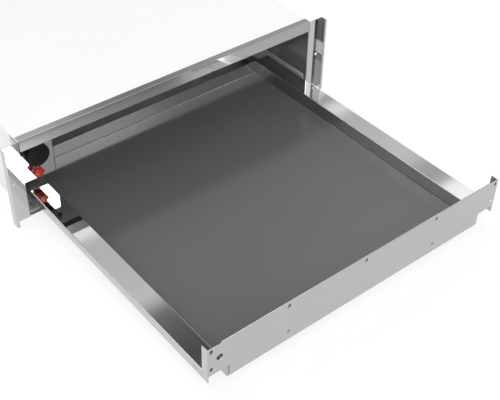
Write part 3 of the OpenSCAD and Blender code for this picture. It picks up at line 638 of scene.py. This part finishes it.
for side in (-1, 1):
    node = "right_side_panel" if side > 0 else "left_side_panel"
    low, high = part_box(node)
    outer = max(abs(low.x), abs(high.x)) - STEEL_T / 2
    inner = min(abs(low.x), abs(high.x))
    rear = back_low.y - STEEL_T / 2
    panel = fold(node + "_sheet", [(side * outer, low.y), (side * outer, rear),
                                   (side * inner, rear)],
                 STEEL_T, CASING_BEND, "z", (low.z, high.z))
    soften(panel, CASING_EDGE)
    dress(panel, coat, "chassis", "white_coat", node)
    panel.data.materials.append(liner)
    # Its faces that look inward or to the front are bare
    for face in panel.data.polygons:
        if face.normal.x * side < -0.5 or face.normal.y < -0.5:
            face.material_index = 1

BACK_VENT_R, BACK_VENT_PITCH = 0.004, 0.02
BACK_VENT_ROWS = (0.028, 0.044)
back_sheet = block("back_sheet", back_low, back_high)
punch(back_sheet, round_punch("back vent punch", BACK_VENT_R), zinc, *(
    (floor_high.x - BACK_VENT_PITCH * column, back_low.y, row)
    for column in range(2, 9) for row in BACK_VENT_ROWS), way=(0, 1, 0))
soften(back_sheet, CASING_EDGE)
dress(back_sheet, zinc, "chassis", "zinc_steel", "back_panel")


# Top cover: a white powder-coated sheet with a short skirt down each side. The skirts are
# cut away at the front, where the mounting plates are screwed on.
SKIRT_GAP = 0.004
NOTCH_DEPTH = 0.05
PUNCH_PLAY = 0.001
low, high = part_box("top_cover")
cover_x = high.x - STEEL_T / 2
cover_z = high.z - STEEL_T / 2
skirt_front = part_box("left_mounting_plate")[1].y + SKIRT_GAP
cover_sheet = fold("top_cover_sheet", [(-cover_x, low.z), (-cover_x, cover_z),
                                       (cover_x, cover_z), (cover_x, low.z)],
                   STEEL_T, CASING_BEND, "y", (low.y, high.y))
notch = block("skirt notch", (-STEEL_T, -PUNCH_PLAY, -NOTCH_DEPTH),
              (STEEL_T, skirt_front - low.y, PUNCH_PLAY))
punch(cover_sheet, notch, coat, (-high.x, low.y, high.z), (high.x, low.y, high.z))
soften(cover_sheet, CASING_EDGE)
dress(cover_sheet, coat, "chassis", "white_coat", "top_cover")


# Ceiling and baffle: flat sheets of aluminised steel between the side panels. The ceiling
# closes the heated space under the insulation, and the baffle stands before the fan.
WELD_REACH = 0.000002


def finish_node(material, slot, *nodes, edge=0.0002):
    """CAD nodes that stay: their finish, and a small round on their edges"""
    for name in nodes:
        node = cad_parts[name]
        if not node.material_slots:
            node.data.materials.append(material)
        for holder in node.material_slots:
            holder.material = material
        if edge:
            weld = node.modifiers.new("weld", "WELD")
            weld.merge_threshold = WELD_REACH
            add_edge_round(node, edge, 1)


pale_liner = zinc_sheet("aluminised sheet", 0.84, 320.0, 0.1)
finish_node(pale_liner, "liner_steel", "ceiling_panel", "fan_baffle")


# Insulation: a mat of yellow mineral fibre that keeps the heat from the top cover. It is
# laid in loose, between the cover and the ceiling.
wool, wool_tree, wool_shader, wool_where = new_material("mineral wool", Roughness=0.95)
fibres = mask_of(wool_tree, grain, wool_where, {"Stretch": (0.2, 1.0, 1.0), "Scale": 320.0})
set_tone(wool_tree, wool_shader, fibres, (0.40, 0.33, 0.14), (0.66, 0.58, 0.32))
set_bump(wool_tree, wool_shader, fibres, 0.6, 0.001)
finish_node(wool, "mineral_wool", "ceiling_insulation", edge=0)


# Frame: folded sheets of bright stainless steel. The top rail is a channel, open to the
# rear. A plate at each side covers the cabinet's edge, with its outer edge folded forward
# and in again, a hole for a screw into the cabinet and a flange screwed to the casing.
FRAME_T = 0.0012
FRAME_EDGE = 0.0003
ROLLED_R = 0.0007


def bright_steel(name, along, tone=0.56, rough=0.045, lean=0.0):
    material, tree, shader, where = new_material(name, Metallic=1.0)
    stretch = [0.012 if axis == along else 1.0 for axis in "xyz"]
    lines = mask_of(tree, grain, where, {"Stretch": stretch, "Scale": 1500.0})
    mottle = mask_of(tree, cloud, where, {"Scale": 6.0, "Fine share": 0.2})
    share = mix_value(tree, 0.4, mottle, lines)
    set_tone(tree, shader, share, (tone * 0.97, tone * 0.97, tone * 0.965),
             (tone * 1.03, tone * 1.03, tone * 1.02))
    set_roughness(tree, shader, share, rough * 0.8, rough * 1.2)
    bump = add(tree, "ShaderNodeBump", {"Height": lines, "Strength": 0.02, "Distance": 0.00005})
    crowned = add(tree, "ShaderNodeVectorMath", {0: bump.outputs[0], 1: (0.0, 0.0, lean)},
                  operation="ADD")
    unit = add(tree, "ShaderNodeVectorMath", {0: crowned.outputs[0]}, operation="NORMALIZE")
    tree.links.new(unit.outputs[0], shader["Normal"])
    return material


bend_steel = bright_steel("bright steel, bends and cut edges", "x", 0.42, 0.3)


def finish_bright(piece, steel, body, node, edge=FRAME_EDGE):
    """Finishes a bright sheet. Its bends and its cut edges are duller than its flats."""
    soften(piece, edge)
    dress(piece, steel, body, "polished_steel", node)
    piece.data.materials.append(bend_steel)
    for face in piece.data.polygons:
        spots = [piece.data.vertices[i].co for i in face.vertices]
        width = sorted(max(spot[i] for spot in spots) - min(spot[i] for spot in spots)
                       for i in range(3))[1]
        if max(abs(value) for value in face.normal) < 0.99 or width < FRAME_T:
            face.material_index = 1


rail_steel = bright_steel("bright steel, rail", "x", lean=0.12)
plate_steel = bright_steel("bright steel, plates", "z")

low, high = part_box("top_rail")
half_t = FRAME_T / 2
rail = fold("top_rail_sheet", [(high.y, low.z + half_t), (low.y + half_t, low.z + half_t),
                               (low.y + half_t, high.z - half_t), (high.y, high.z - half_t)],
            FRAME_T, 0, "x", (low.x, high.x))
finish_bright(rail, rail_steel, "chassis", "top_rail")

LIP_RETURN = 0.004
FLANGE_DROP = 0.002
BEND_PLAY = 0.0001
SCREW_HOLE_R = 0.00275
SCREW_HOLE_IN = 0.0087
opening_half = high.x
face_y = low.y + half_t
flange_x = floor_high.x + STEEL_T
for side in (-1, 1):
    node = "right_mounting_plate" if side > 0 else "left_mounting_plate"
    low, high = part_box(node)
    outer = max(abs(low.x), abs(high.x))
    corners = [(opening_half + half_t, face_y + ROLLED_R + BEND_PLAY),
               (opening_half + half_t, face_y), (outer - half_t, face_y),
               (outer - half_t, low.y + half_t), (outer - LIP_RETURN, low.y + half_t)]
    work = bmesh.new()
    add_fold(work, [(side * x, y) for x, y in corners], FRAME_T, [ROLLED_R, 0, 0], "z",
             (low.z, high.z))
    edges = sorted((side * flange_x, side * (flange_x + FRAME_T)))
    add_block(work, (edges[0], face_y, low.z), (edges[1], high.y, high.z - FLANGE_DROP))
    plate = piece_from(work, node + "_sheet")
    punch(plate, round_punch("screw hole punch", SCREW_HOLE_R), plate_steel,
          (side * (outer - SCREW_HOLE_IN), face_y, (low.z + high.z) / 2), way=(0, 1, 0))
    finish_bright(plate, plate_steel, "chassis", node)


# Slides: a perforated bracket of zinc-coated sheet on the casing's floor at each side, and
# on it a three-member telescopic slide of plated steel with its two ball cages.
plated = one_mask_finish(
    "bright plated steel", grain, {"Stretch": (1.0, 0.02, 1.0), "Scale": 1100.0},
    (0.50, 0.51, 0.53), (0.60, 0.61, 0.62), (0.2, 0.32), Metallic=1.0)
pale_zinc = zinc_sheet("bright zinc-coated sheet", 0.72, 260.0, 0.3)
for side in ("left", "right"):
    finish_node(pale_zinc, "zinc_steel", side + "_slide_bracket", edge=0.0001)
    finish_node(plated, "plain_steel", side + "_outer_rail", side + "_middle_rail",
                side + "_inner_rail", edge=0.00012)
    finish_node(plated, "plain_steel", side + "_outer_balls", side + "_inner_balls", edge=0)


# Controls: a small folded panel of bright steel at the left end of the opening, set back
# from the frame, with a zinc-coated cover round the controls behind it.
THERMOSTAT_HOLE_R = 0.0052
SELECTOR_HOLE_R = 0.0047
low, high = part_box("control_panel")
panel_steel = bright_steel("bright steel, control panel", "x")
control_panel = fold("control_panel_sheet", [
    (low.x, low.y + half_t), (high.x - half_t, low.y + half_t), (high.x - half_t, high.y)],
    FRAME_T, ROLLED_R, "z", (low.z, high.z))


def centre_of(node):
    low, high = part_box(node)
    return (low + high) / 2


knob_centre = centre_of("thermostat_shaft")
selector_centre = centre_of("selector_shaft")
for centre, radius in ((knob_centre, THERMOSTAT_HOLE_R), (selector_centre, SELECTOR_HOLE_R)):
    punch(control_panel, round_punch("bushing hole punch", radius), panel_steel,
          (centre.x, low.y + half_t, centre.z), way=(0, 1, 0))
finish_bright(control_panel, panel_steel, "chassis", "control_panel")
finish_node(zinc, "zinc_steel", "control_box_cover", "sensor_clips")


# Thermostat and selector: moulded bodies with turned brass nuts and plated shafts, and the
# thermostat's thin copper tube that runs to its bulb under the ceiling.
def moulding(name, dark, pale, rough, bump_strength=0.1, **settings):
    material, tree, shader, where = new_material(name, **settings)
    mottle = mask_of(tree, cloud, where, {"Scale": 60.0, "Fine share": 0.6})
    set_tone(tree, shader, mottle, dark, pale)
    set_roughness(tree, shader, mottle, rough * 0.85, rough * 1.15)
    set_bump(tree, shader, noise(tree, where, 2500.0, 1.0), bump_strength, 0.0001)
    return material


pale_moulding = moulding("pale moulding", (0.60, 0.55, 0.42), (0.70, 0.65, 0.52), 0.55)
black_moulding = moulding("black moulding", (0.008, 0.008, 0.008), (0.011, 0.011, 0.011), 0.42,
                          Specular_IOR_Level=0.12)
brass = one_mask_finish(
    "turned brass", grain, {"Stretch": (1.0, 0.05, 1.0), "Scale": 1600.0},
    (0.62, 0.42, 0.15), (0.80, 0.58, 0.25), (0.2, 0.34), Metallic=1.0)
copper = one_mask_finish(
    "drawn copper", grain, {"Stretch": (1.0, 0.03, 1.0), "Scale": 1400.0},
    (0.66, 0.28, 0.15), (0.84, 0.42, 0.25), (0.25, 0.4), Metallic=1.0)
finish_node(pale_moulding, "pale_plastic", "thermostat_body")
finish_node(black_moulding, "black_plastic", "selector_body")
finish_node(brass, "brass", "thermostat_nut", "selector_nut")
finish_node(plated, "plain_steel", "thermostat_shaft", "selector_shaft", edge=0.0004)
finish_node(copper, "copper_tube", "capillary_sensor", edge=0)


# Knobs, pushed onto the two shafts: the thermostat's is a plain round black moulding with a
# short pointer groove in its face, and the selector's a small red one with six lobes to grip.
def loft(name, rings):
    """A closed body from rings of points, its two ends capped"""
    work = bmesh.new()
    rows = [[work.verts.new(point) for point in ring] for ring in rings]
    for near, far in zip(rows, rows[1:]):
        for i in range(len(near)):
            j = (i + 1) % len(near)
            work.faces.new((near[i], near[j], far[j], far[i]))
    work.faces.new(rows[0][::-1])
    work.faces.new(rows[-1])
    return piece_from(work, name)


def turned(centre, back, profile, outline=None, segments=96):
    """Rings round an axis along the depth: each pair is a radius and a height over the back"""
    rings = []
    for radius, height in profile:
        ring = []
        for i in range(segments):
            angle = 2 * math.pi * i / segments
            reach = radius if outline is None else outline(angle, radius)
            ring.append((centre.x + reach * math.cos(angle), back - height,
                         centre.z + reach * math.sin(angle)))
        rings.append(ring)
    return rings


def round_edge(radius, top, bend):
    """A quarter round, from the side of a turned piece to its face, as pairs for turned()"""
    angles = [math.radians(angle) for angle in range(0, 91, 15)]
    return [(radius - bend * (1 - math.cos(angle)), top - bend * (1 - math.sin(angle)))
            for angle in angles]


POINTER_L, POINTER_HALF_W, POINTER_DEPTH = 0.0035, 0.0007, 0.0008
POINTER_IN = 0.0025
KNOB_BEND = 0.0016
KNOB_CHAMFER = 0.0004
CENTRE_R = 0.001
low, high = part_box("thermostat_knob")
knob_r = (high.x - low.x) / 2
knob_l = high.y - low.y
bore_r, recess_r, bore_end, recess_end = 0.00305, 0.009, 0.0135, 0.0053
profile = [(bore_r, bore_end), (bore_r, recess_end), (recess_r, recess_end), (recess_r, 0),
           (knob_r - KNOB_CHAMFER, 0), (knob_r, KNOB_CHAMFER),
           *round_edge(knob_r, knob_l, KNOB_BEND), (CENTRE_R, knob_l)]
black_knob = loft("thermostat_knob_moulding", turned(knob_centre, high.y, profile))
pointer_end = knob_r - POINTER_IN
groove = block("pointer groove punch",
               (-POINTER_HALF_W, -PUNCH_PLAY, pointer_end - POINTER_L),
               (POINTER_HALF_W, POINTER_DEPTH, pointer_end))
punch(black_knob, groove, black_moulding, (knob_centre.x, low.y, knob_centre.z))
soften(black_knob, 0.0001, 1)
dress(black_knob, black_moulding, "thermostat_dial", "black_plastic", "thermostat_knob")

LOBES = 6
LOBE_R = 0.0026
VALLEY_DEPTH = 0.0021
low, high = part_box("selector_knob")
red_r = (high.x - low.x) / 2
red_l = high.y - low.y


def lobed(angle, radius):
    """How far the lobed knob reaches at an angle, for a ring of the given size"""
    inset = red_r - radius
    reach = red_r - LOBE_R
    turn = (angle + math.pi / LOBES) % (2 * math.pi / LOBES) - math.pi / LOBES
    across = reach * math.sin(turn)
    lobe = reach * math.cos(turn) + math.sqrt(max(LOBE_R ** 2 - across ** 2, 0))
    valley = red_r - VALLEY_DEPTH
    if abs(across) >= LOBE_R:
        lobe = 0
    return max(lobe, valley) - inset


red_moulding = moulding("red moulding", (0.36, 0.016, 0.012), (0.44, 0.022, 0.016), 0.28, 0.05,
                        Specular_IOR_Level=0.3)
bore_r, recess_r, bore_end, recess_end = 0.00255, 0.0064, 0.0091, 0.0041
RED_BEND = 0.0013
DOME_H = 0.0006
round_core = turned(selector_centre, high.y, [
    (bore_r, bore_end), (bore_r, recess_end), (recess_r, recess_end), (recess_r, 0),
    (0.0069, 0)])
grip = [(red_r - 0.0009, 0.0), (red_r - 0.0003, 0.0003), (red_r, 0.0009),
        *round_edge(red_r, red_l - DOME_H, RED_BEND)]
dome = turned(selector_centre, high.y, [(0.0058, red_l - 0.0003), (0.005, red_l - 0.0001),
                                        (0.0035, red_l), (CENTRE_R, red_l)])
red_knob = loft("selector_knob_moulding",
                round_core + turned(selector_centre, high.y, grip, lobed) + dome)
for face in red_knob.data.polygons:
    face.use_smooth = True
red_knob.data.set_sharp_from_angle(angle=math.radians(38))
dress(red_knob, red_moulding, "selector_dial", "red_plastic", "selector_knob")


# Fan heater behind the baffle: a pressed aluminium wheel on the shaft of a small motor, and
# round it a sheathed heating element on clips, with ceramic bushings where it leaves.
aluminium = one_mask_finish("pressed aluminium", cloud, {"Scale": 30.0}, (0.70, 0.71, 0.72),
                            (0.80, 0.81, 0.82), (0.28, 0.42), Metallic=1.0)
sheath, sheath_tree, sheath_shader, sheath_where = new_material("heater sheath", Metallic=1.0)
sheath_mottle = mask_of(sheath_tree, cloud, sheath_where, {"Scale": 45.0})
sheath_tone = ramp(sheath_tree, sheath_mottle, [
    (0.35, (0.10, 0.09, 0.08)), (0.5, (0.22, 0.17, 0.10)), (0.62, (0.13, 0.12, 0.16))])
sheath_tree.links.new(sheath_tone, sheath_shader["Base Color"])
set_roughness(sheath_tree, sheath_shader, sheath_mottle, 0.4, 0.6)
ceramic = moulding("steatite", (0.72, 0.69, 0.60), (0.80, 0.78, 0.70), 0.45)
motor_coat = moulding("motor enamel", (0.09, 0.10, 0.12), (0.12, 0.13, 0.15), 0.4)
finish_node(aluminium, "aluminium", "fan_impeller", edge=0)
finish_node(plated, "plain_steel", "fan_shaft", edge=0.0002)
finish_node(motor_coat, "motor_steel", "fan_motor", edge=0.0008)
finish_node(sheath, "heater_sheath", "heater_element", edge=0)
finish_node(ceramic, "ceramic", "heater_bushings", edge=0.0003)
finish_node(zinc, "zinc_steel", "heater_clips")


# Electrical parts behind the back panel: terminal block, safety cut-out, sleeved leads and
# the cord's gland, under a vented cover of zinc-coated sheet.
sleeve, sleeve_tree, sleeve_shader, sleeve_where = new_material("glass-silicone sleeve")
braid = add(sleeve_tree, "ShaderNodeTexWave", {
    "Vector": sleeve_where, "Scale": 260.0, "Distortion": 2.0,
}, bands_direction="DIAGONAL").outputs["Fac"]
set_tone(sleeve_tree, sleeve_shader, braid, (0.012, 0.012, 0.014), (0.04, 0.04, 0.045))
set_roughness(sleeve_tree, sleeve_shader, braid, 0.55, 0.75)
rubber = moulding("moulded rubber", (0.010, 0.010, 0.010), (0.018, 0.018, 0.018), 0.8)
finish_node(pale_moulding, "pale_plastic", "terminal_block", edge=0.0004)
finish_node(black_moulding, "black_plastic", "thermal_cutout", "cable_gland", edge=0.0003)
finish_node(sleeve, "cable_sleeve", "wiring_loom", edge=0)
finish_node(zinc, "zinc_steel", "rear_cover", edge=0.0003)
finish_node(rubber, "rubber", "rear_bumpers", edge=0.0005)


# Tray: one sheet of bright stainless steel folded into a pan with a ledge and an outer lip
# along each side, over the slides. The front and rear walls are welded in.
TRAY_T = 0.0008
TRAY_EDGE = 0.00018
FLOOR_BEND = 0.0010
LEDGE_BEND = 0.0006
WALL_FOOT = 1.02 * FLOOR_BEND
LIP_H = 0.0144
LIP_SLOT_L, LIP_SLOT_H = 0.008, 0.003
LIP_SLOT_DOWN = 0.004
# The front plate's end flanges reach this far back, with this much play before the lips
FLANGE_D = 0.012
FLANGE_PLAY = 0.0004
tray_steel = bright_steel("bright steel, tray", "y")
low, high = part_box("tray_pan")
plate_low, plate_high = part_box("warming_plate")
half_t = TRAY_T / 2
wall_x = plate_high.x + half_t
lip_x = high.x - half_t
floor_z = low.z + half_t
ledge_z = high.z - half_t
lip_low_z = high.z - LIP_H
front_low, front_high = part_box("front_plate")
corners = [(-lip_x, lip_low_z), (-lip_x, ledge_z), (-wall_x, ledge_z), (-wall_x, floor_z),
           (wall_x, floor_z), (wall_x, ledge_z), (lip_x, ledge_z), (lip_x, lip_low_z)]
bends = [LEDGE_BEND, LEDGE_BEND, FLOOR_BEND, FLOOR_BEND, LEDGE_BEND, LEDGE_BEND]
tray = fold("tray_sheet", corners, TRAY_T, bends, "y", (low.y, high.y))
short_ledge_x = front_high.x - 2 * FRAME_T
lip_front_y = front_low.y + FLANGE_D + FLANGE_PLAY
notch = block("front ledge punch", (short_ledge_x - high.x, -PUNCH_PLAY, -2 * LIP_H),
              (high.x - short_ledge_x, lip_front_y - low.y, PUNCH_PLAY))
punch(tray, notch, tray_steel, (-high.x, low.y, high.z), (high.x, low.y, high.z))
slot_y = lip_front_y + LIP_SLOT_L * 1.5
slot_z = high.z - LIP_SLOT_DOWN - LIP_SLOT_H / 2
slot_size = Vector((2 * PUNCH_PLAY, LIP_SLOT_L / 2, LIP_SLOT_H / 2))
punch(tray, block("lip slot punch", -slot_size, slot_size), tray_steel,
      (-lip_x, slot_y, slot_z), (lip_x, slot_y, slot_z))
for name, wall_y, sense in (("front wall", low.y + half_t, 1), ("rear wall", high.y - half_t, -1)):
    wall = fold(name, [(wall_y + sense * WALL_FOOT, floor_z), (wall_y, floor_z), (wall_y, high.z)],
                TRAY_T, FLOOR_BEND, "x", (-wall_x + half_t / 2, wall_x - half_t / 2))
    union = tray.modifiers.new("weld " + name, "BOOLEAN")
    union.operation = "UNION"
    union.solver = "EXACT"
    union.object = wall
    bake(tray)
    bpy.data.objects.remove(wall)
finish_bright(tray, tray_steel, "drawer", "tray_pan", TRAY_EDGE)


# Warming plate: a flat sheet with a smooth dark grey coat of soft gloss, laid on the pan's
# floor. It stops just short of the bends of the pan.
plate_coat, plate_tree, plate_shader, plate_where = new_material("dark soft-gloss coat", IOR=1.35)
plate_mottle = mask_of(plate_tree, cloud, plate_where, {"Scale": 5.0, "Fine share": 0.3})
set_tone(plate_tree, plate_shader, plate_mottle, (0.095, 0.095, 0.095), (0.103, 0.103, 0.103))
set_roughness(plate_tree, plate_shader, plate_mottle, 0.15, 0.18)
set_bump(plate_tree, plate_shader, noise(plate_tree, plate_where, 420.0, 2.0), 0.03, 0.0001)
PLATE_PLAY = Vector((0.0007, 0.0007, 0))
warm_sheet = block("warming_sheet", plate_low + PLATE_PLAY, plate_high - PLATE_PLAY)
soften(warm_sheet, FRAME_EDGE)
dress(warm_sheet, plate_coat, "drawer", "dark_plate", "warming_plate")


# Front plate: a bare plate of bright stainless steel that carries the furniture front, with
# both ends folded back over the ledges. Slots take the front's screws, and a round hole in
# its left end the adjusting cam.
front_steel = bright_steel("bright steel, front plate", "x")
half_t = FRAME_T / 2
face_y = front_low.y + half_t
flange_y = front_low.y + FLANGE_D
edge_x = front_high.x - half_t
front_sheet = fold("front_plate_sheet", [(-edge_x, flange_y), (-edge_x, face_y),
                                         (edge_x, face_y), (edge_x, flange_y)],
                   FRAME_T, 0, "z", (front_low.z, front_high.z))
# Its lower corners are cut away under the end tabs and under the ledges' lips, and the tabs
# stand a little lower than the middle. Each cut reaches past the sheet on its open sides.
TAB_LOW_Z = 0.030
TAB_DROP = 0.002
TAB_W = 0.021
DEEP_PART_IN = 0.0026
FACE_CUT_D, FLANGE_CUT_D, FLANGE_CUT_W = 0.004, 0.04, 0.004
deep_x = plate_high.x - DEEP_PART_IN
inner_x = front_high.x - FRAME_T
for size, cut_x, cut_z in (
    ((inner_x - deep_x, FACE_CUT_D, TAB_LOW_Z - front_low.z + PUNCH_PLAY),
     (inner_x + deep_x) / 2, (TAB_LOW_Z + front_low.z - PUNCH_PLAY) / 2),
    ((FLANGE_CUT_W, FLANGE_CUT_D, lip_low_z - front_low.z + PUNCH_PLAY),
     inner_x + PUNCH_PLAY, (lip_low_z + front_low.z - PUNCH_PLAY) / 2),
    ((TAB_W + PUNCH_PLAY, FLANGE_CUT_D, TAB_DROP + PUNCH_PLAY),
     front_high.x - (TAB_W - PUNCH_PLAY) / 2, front_high.z - (TAB_DROP - PUNCH_PLAY) / 2),
):
    reach = Vector(size) / 2
    punch(front_sheet, block("edge punch", -reach, reach), front_steel,
          (-cut_x, face_y, cut_z), (cut_x, face_y, cut_z))

SLOT_W, SLOT_L, SLOT_DOWN = 0.0042, 0.0075, 0.0084
OUTER_SLOT_IN, OUTER_SLOT_STEP = 0.0056, 0.032
INNER_SLOT_X, INNER_SLOT_STEP = 0.132, 0.047
ADJUST_HOLE_R, ADJUST_HOLE_IN = 0.005, 0.0027
slot_z = front_high.z - SLOT_DOWN
slot_places = [(0, slot_z)]
for side in (-1, 1):
    outer_slot_x = side * (front_high.x - OUTER_SLOT_IN)
    slot_places += [(outer_slot_x, slot_z), (outer_slot_x, slot_z - OUTER_SLOT_STEP),
                    (side * INNER_SLOT_X, slot_z), (side * INNER_SLOT_X, slot_z - INNER_SLOT_STEP)]
slot_tool = slot_punch("fixing slot punch", SLOT_W, SLOT_L)
slot_tool.data.transform(Matrix.Rotation(math.radians(90), 4, "X"))
punch(front_sheet, slot_tool, front_steel, *((x, face_y, z) for x, z in slot_places))
adjust_x = -front_high.x + TAB_W - ADJUST_HOLE_IN
punch(front_sheet, round_punch("adjusting hole punch", ADJUST_HOLE_R), front_steel,
      (adjust_x, face_y, (front_high.z + TAB_LOW_Z) / 2), way=(0, 1, 0))
finish_bright(front_sheet, front_steel, "drawer", "front_plate")


# Screws: plated pan-head screws with a cross recess. Each of them is put where the frame
# has one, with its head on the side where that one's head is.
HEAD_R, HEAD_H, SHANK_R, SHANK_L = 0.0036, 0.0018, 0.0019, 0.0019
RECESS_HALF_L, RECESS_HALF_W, RECESS_DEPTH = 0.0019, 0.0004, 0.0011
# Points farther than this from a screw's axis are its head's
HEAD_ONLY_R = 0.0025


def screw_places(node):
    """Where each screw's seat is and which way its head points, found from the frame's node"""
    work = bmesh.new()
    work.from_mesh(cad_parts[node].data)
    bmesh.ops.remove_doubles(work, verts=work.verts, dist=WELD_REACH)
    left, spots, ways = set(work.verts), [], []
    while left:
        group, edge = set(), {left.pop()}
        while edge:
            vert = edge.pop()
            group.add(vert)
            for link in vert.link_edges:
                other = link.other_vert(vert)
                if other in left:
                    left.discard(other)
                    edge.add(other)
        low = [min(vert.co[i] for vert in group) for i in range(3)]
        high = [max(vert.co[i] for vert in group) for i in range(3)]
        size = [high[i] - low[i] for i in range(3)]
        axis = size.index(min(size))
        centre = Vector([(low[i] + high[i]) / 2 for i in range(3)])
        around = [i for i in range(3) if i != axis]
        wide = [vert.co[axis] for vert in group
                if math.hypot(*(vert.co[i] - centre[i] for i in around)) > HEAD_ONLY_R]
        sense = 1 if sum(wide) / len(wide) > centre[axis] else -1
        seat = min(wide) if sense > 0 else max(wide)
        spot, way = centre.copy(), Vector((0, 0, 0))
        spot[axis], way[axis] = seat, sense
        spots.append(spot)
        ways.append(way)
    work.free()
    return spots, ways


profile = [(0.0002, -SHANK_L), (SHANK_R - 0.0004, -SHANK_L), (SHANK_R, -SHANK_L + 0.0004),
           (SHANK_R, 0.0), (HEAD_R - 0.0001, 0.0), (HEAD_R, 0.0002), (HEAD_R, 0.0007),
           (HEAD_R - 0.0003, 0.0012), (HEAD_R - 0.0009, 0.0016), (HEAD_R - 0.0018, HEAD_H),
           (0.0002, HEAD_H)]
screw = loft("one screw", [
    [(radius * math.cos(math.radians(angle)), radius * math.sin(math.radians(angle)), height)
     for angle in range(0, 360, 15)] for radius, height in profile])
for angle in (0, 90):
    recess = block("recess punch", (-RECESS_HALF_L, -RECESS_HALF_W, -RECESS_DEPTH),
                   (RECESS_HALF_L, RECESS_HALF_W, PUNCH_PLAY))
    recess.data.transform(Matrix.Rotation(math.radians(angle), 4, "Z"))
    punch(screw, recess, plated, (0, 0, HEAD_H))
soften(screw, 0.00008, 1)
screws = object_from(bpy.data.meshes.new("screws"), "screws")
run_tree(screws, copy_tree, *screw_places("chassis_screws"), screw, plated)
dress(screws, plated, "chassis", "plain_steel", "chassis_screws")
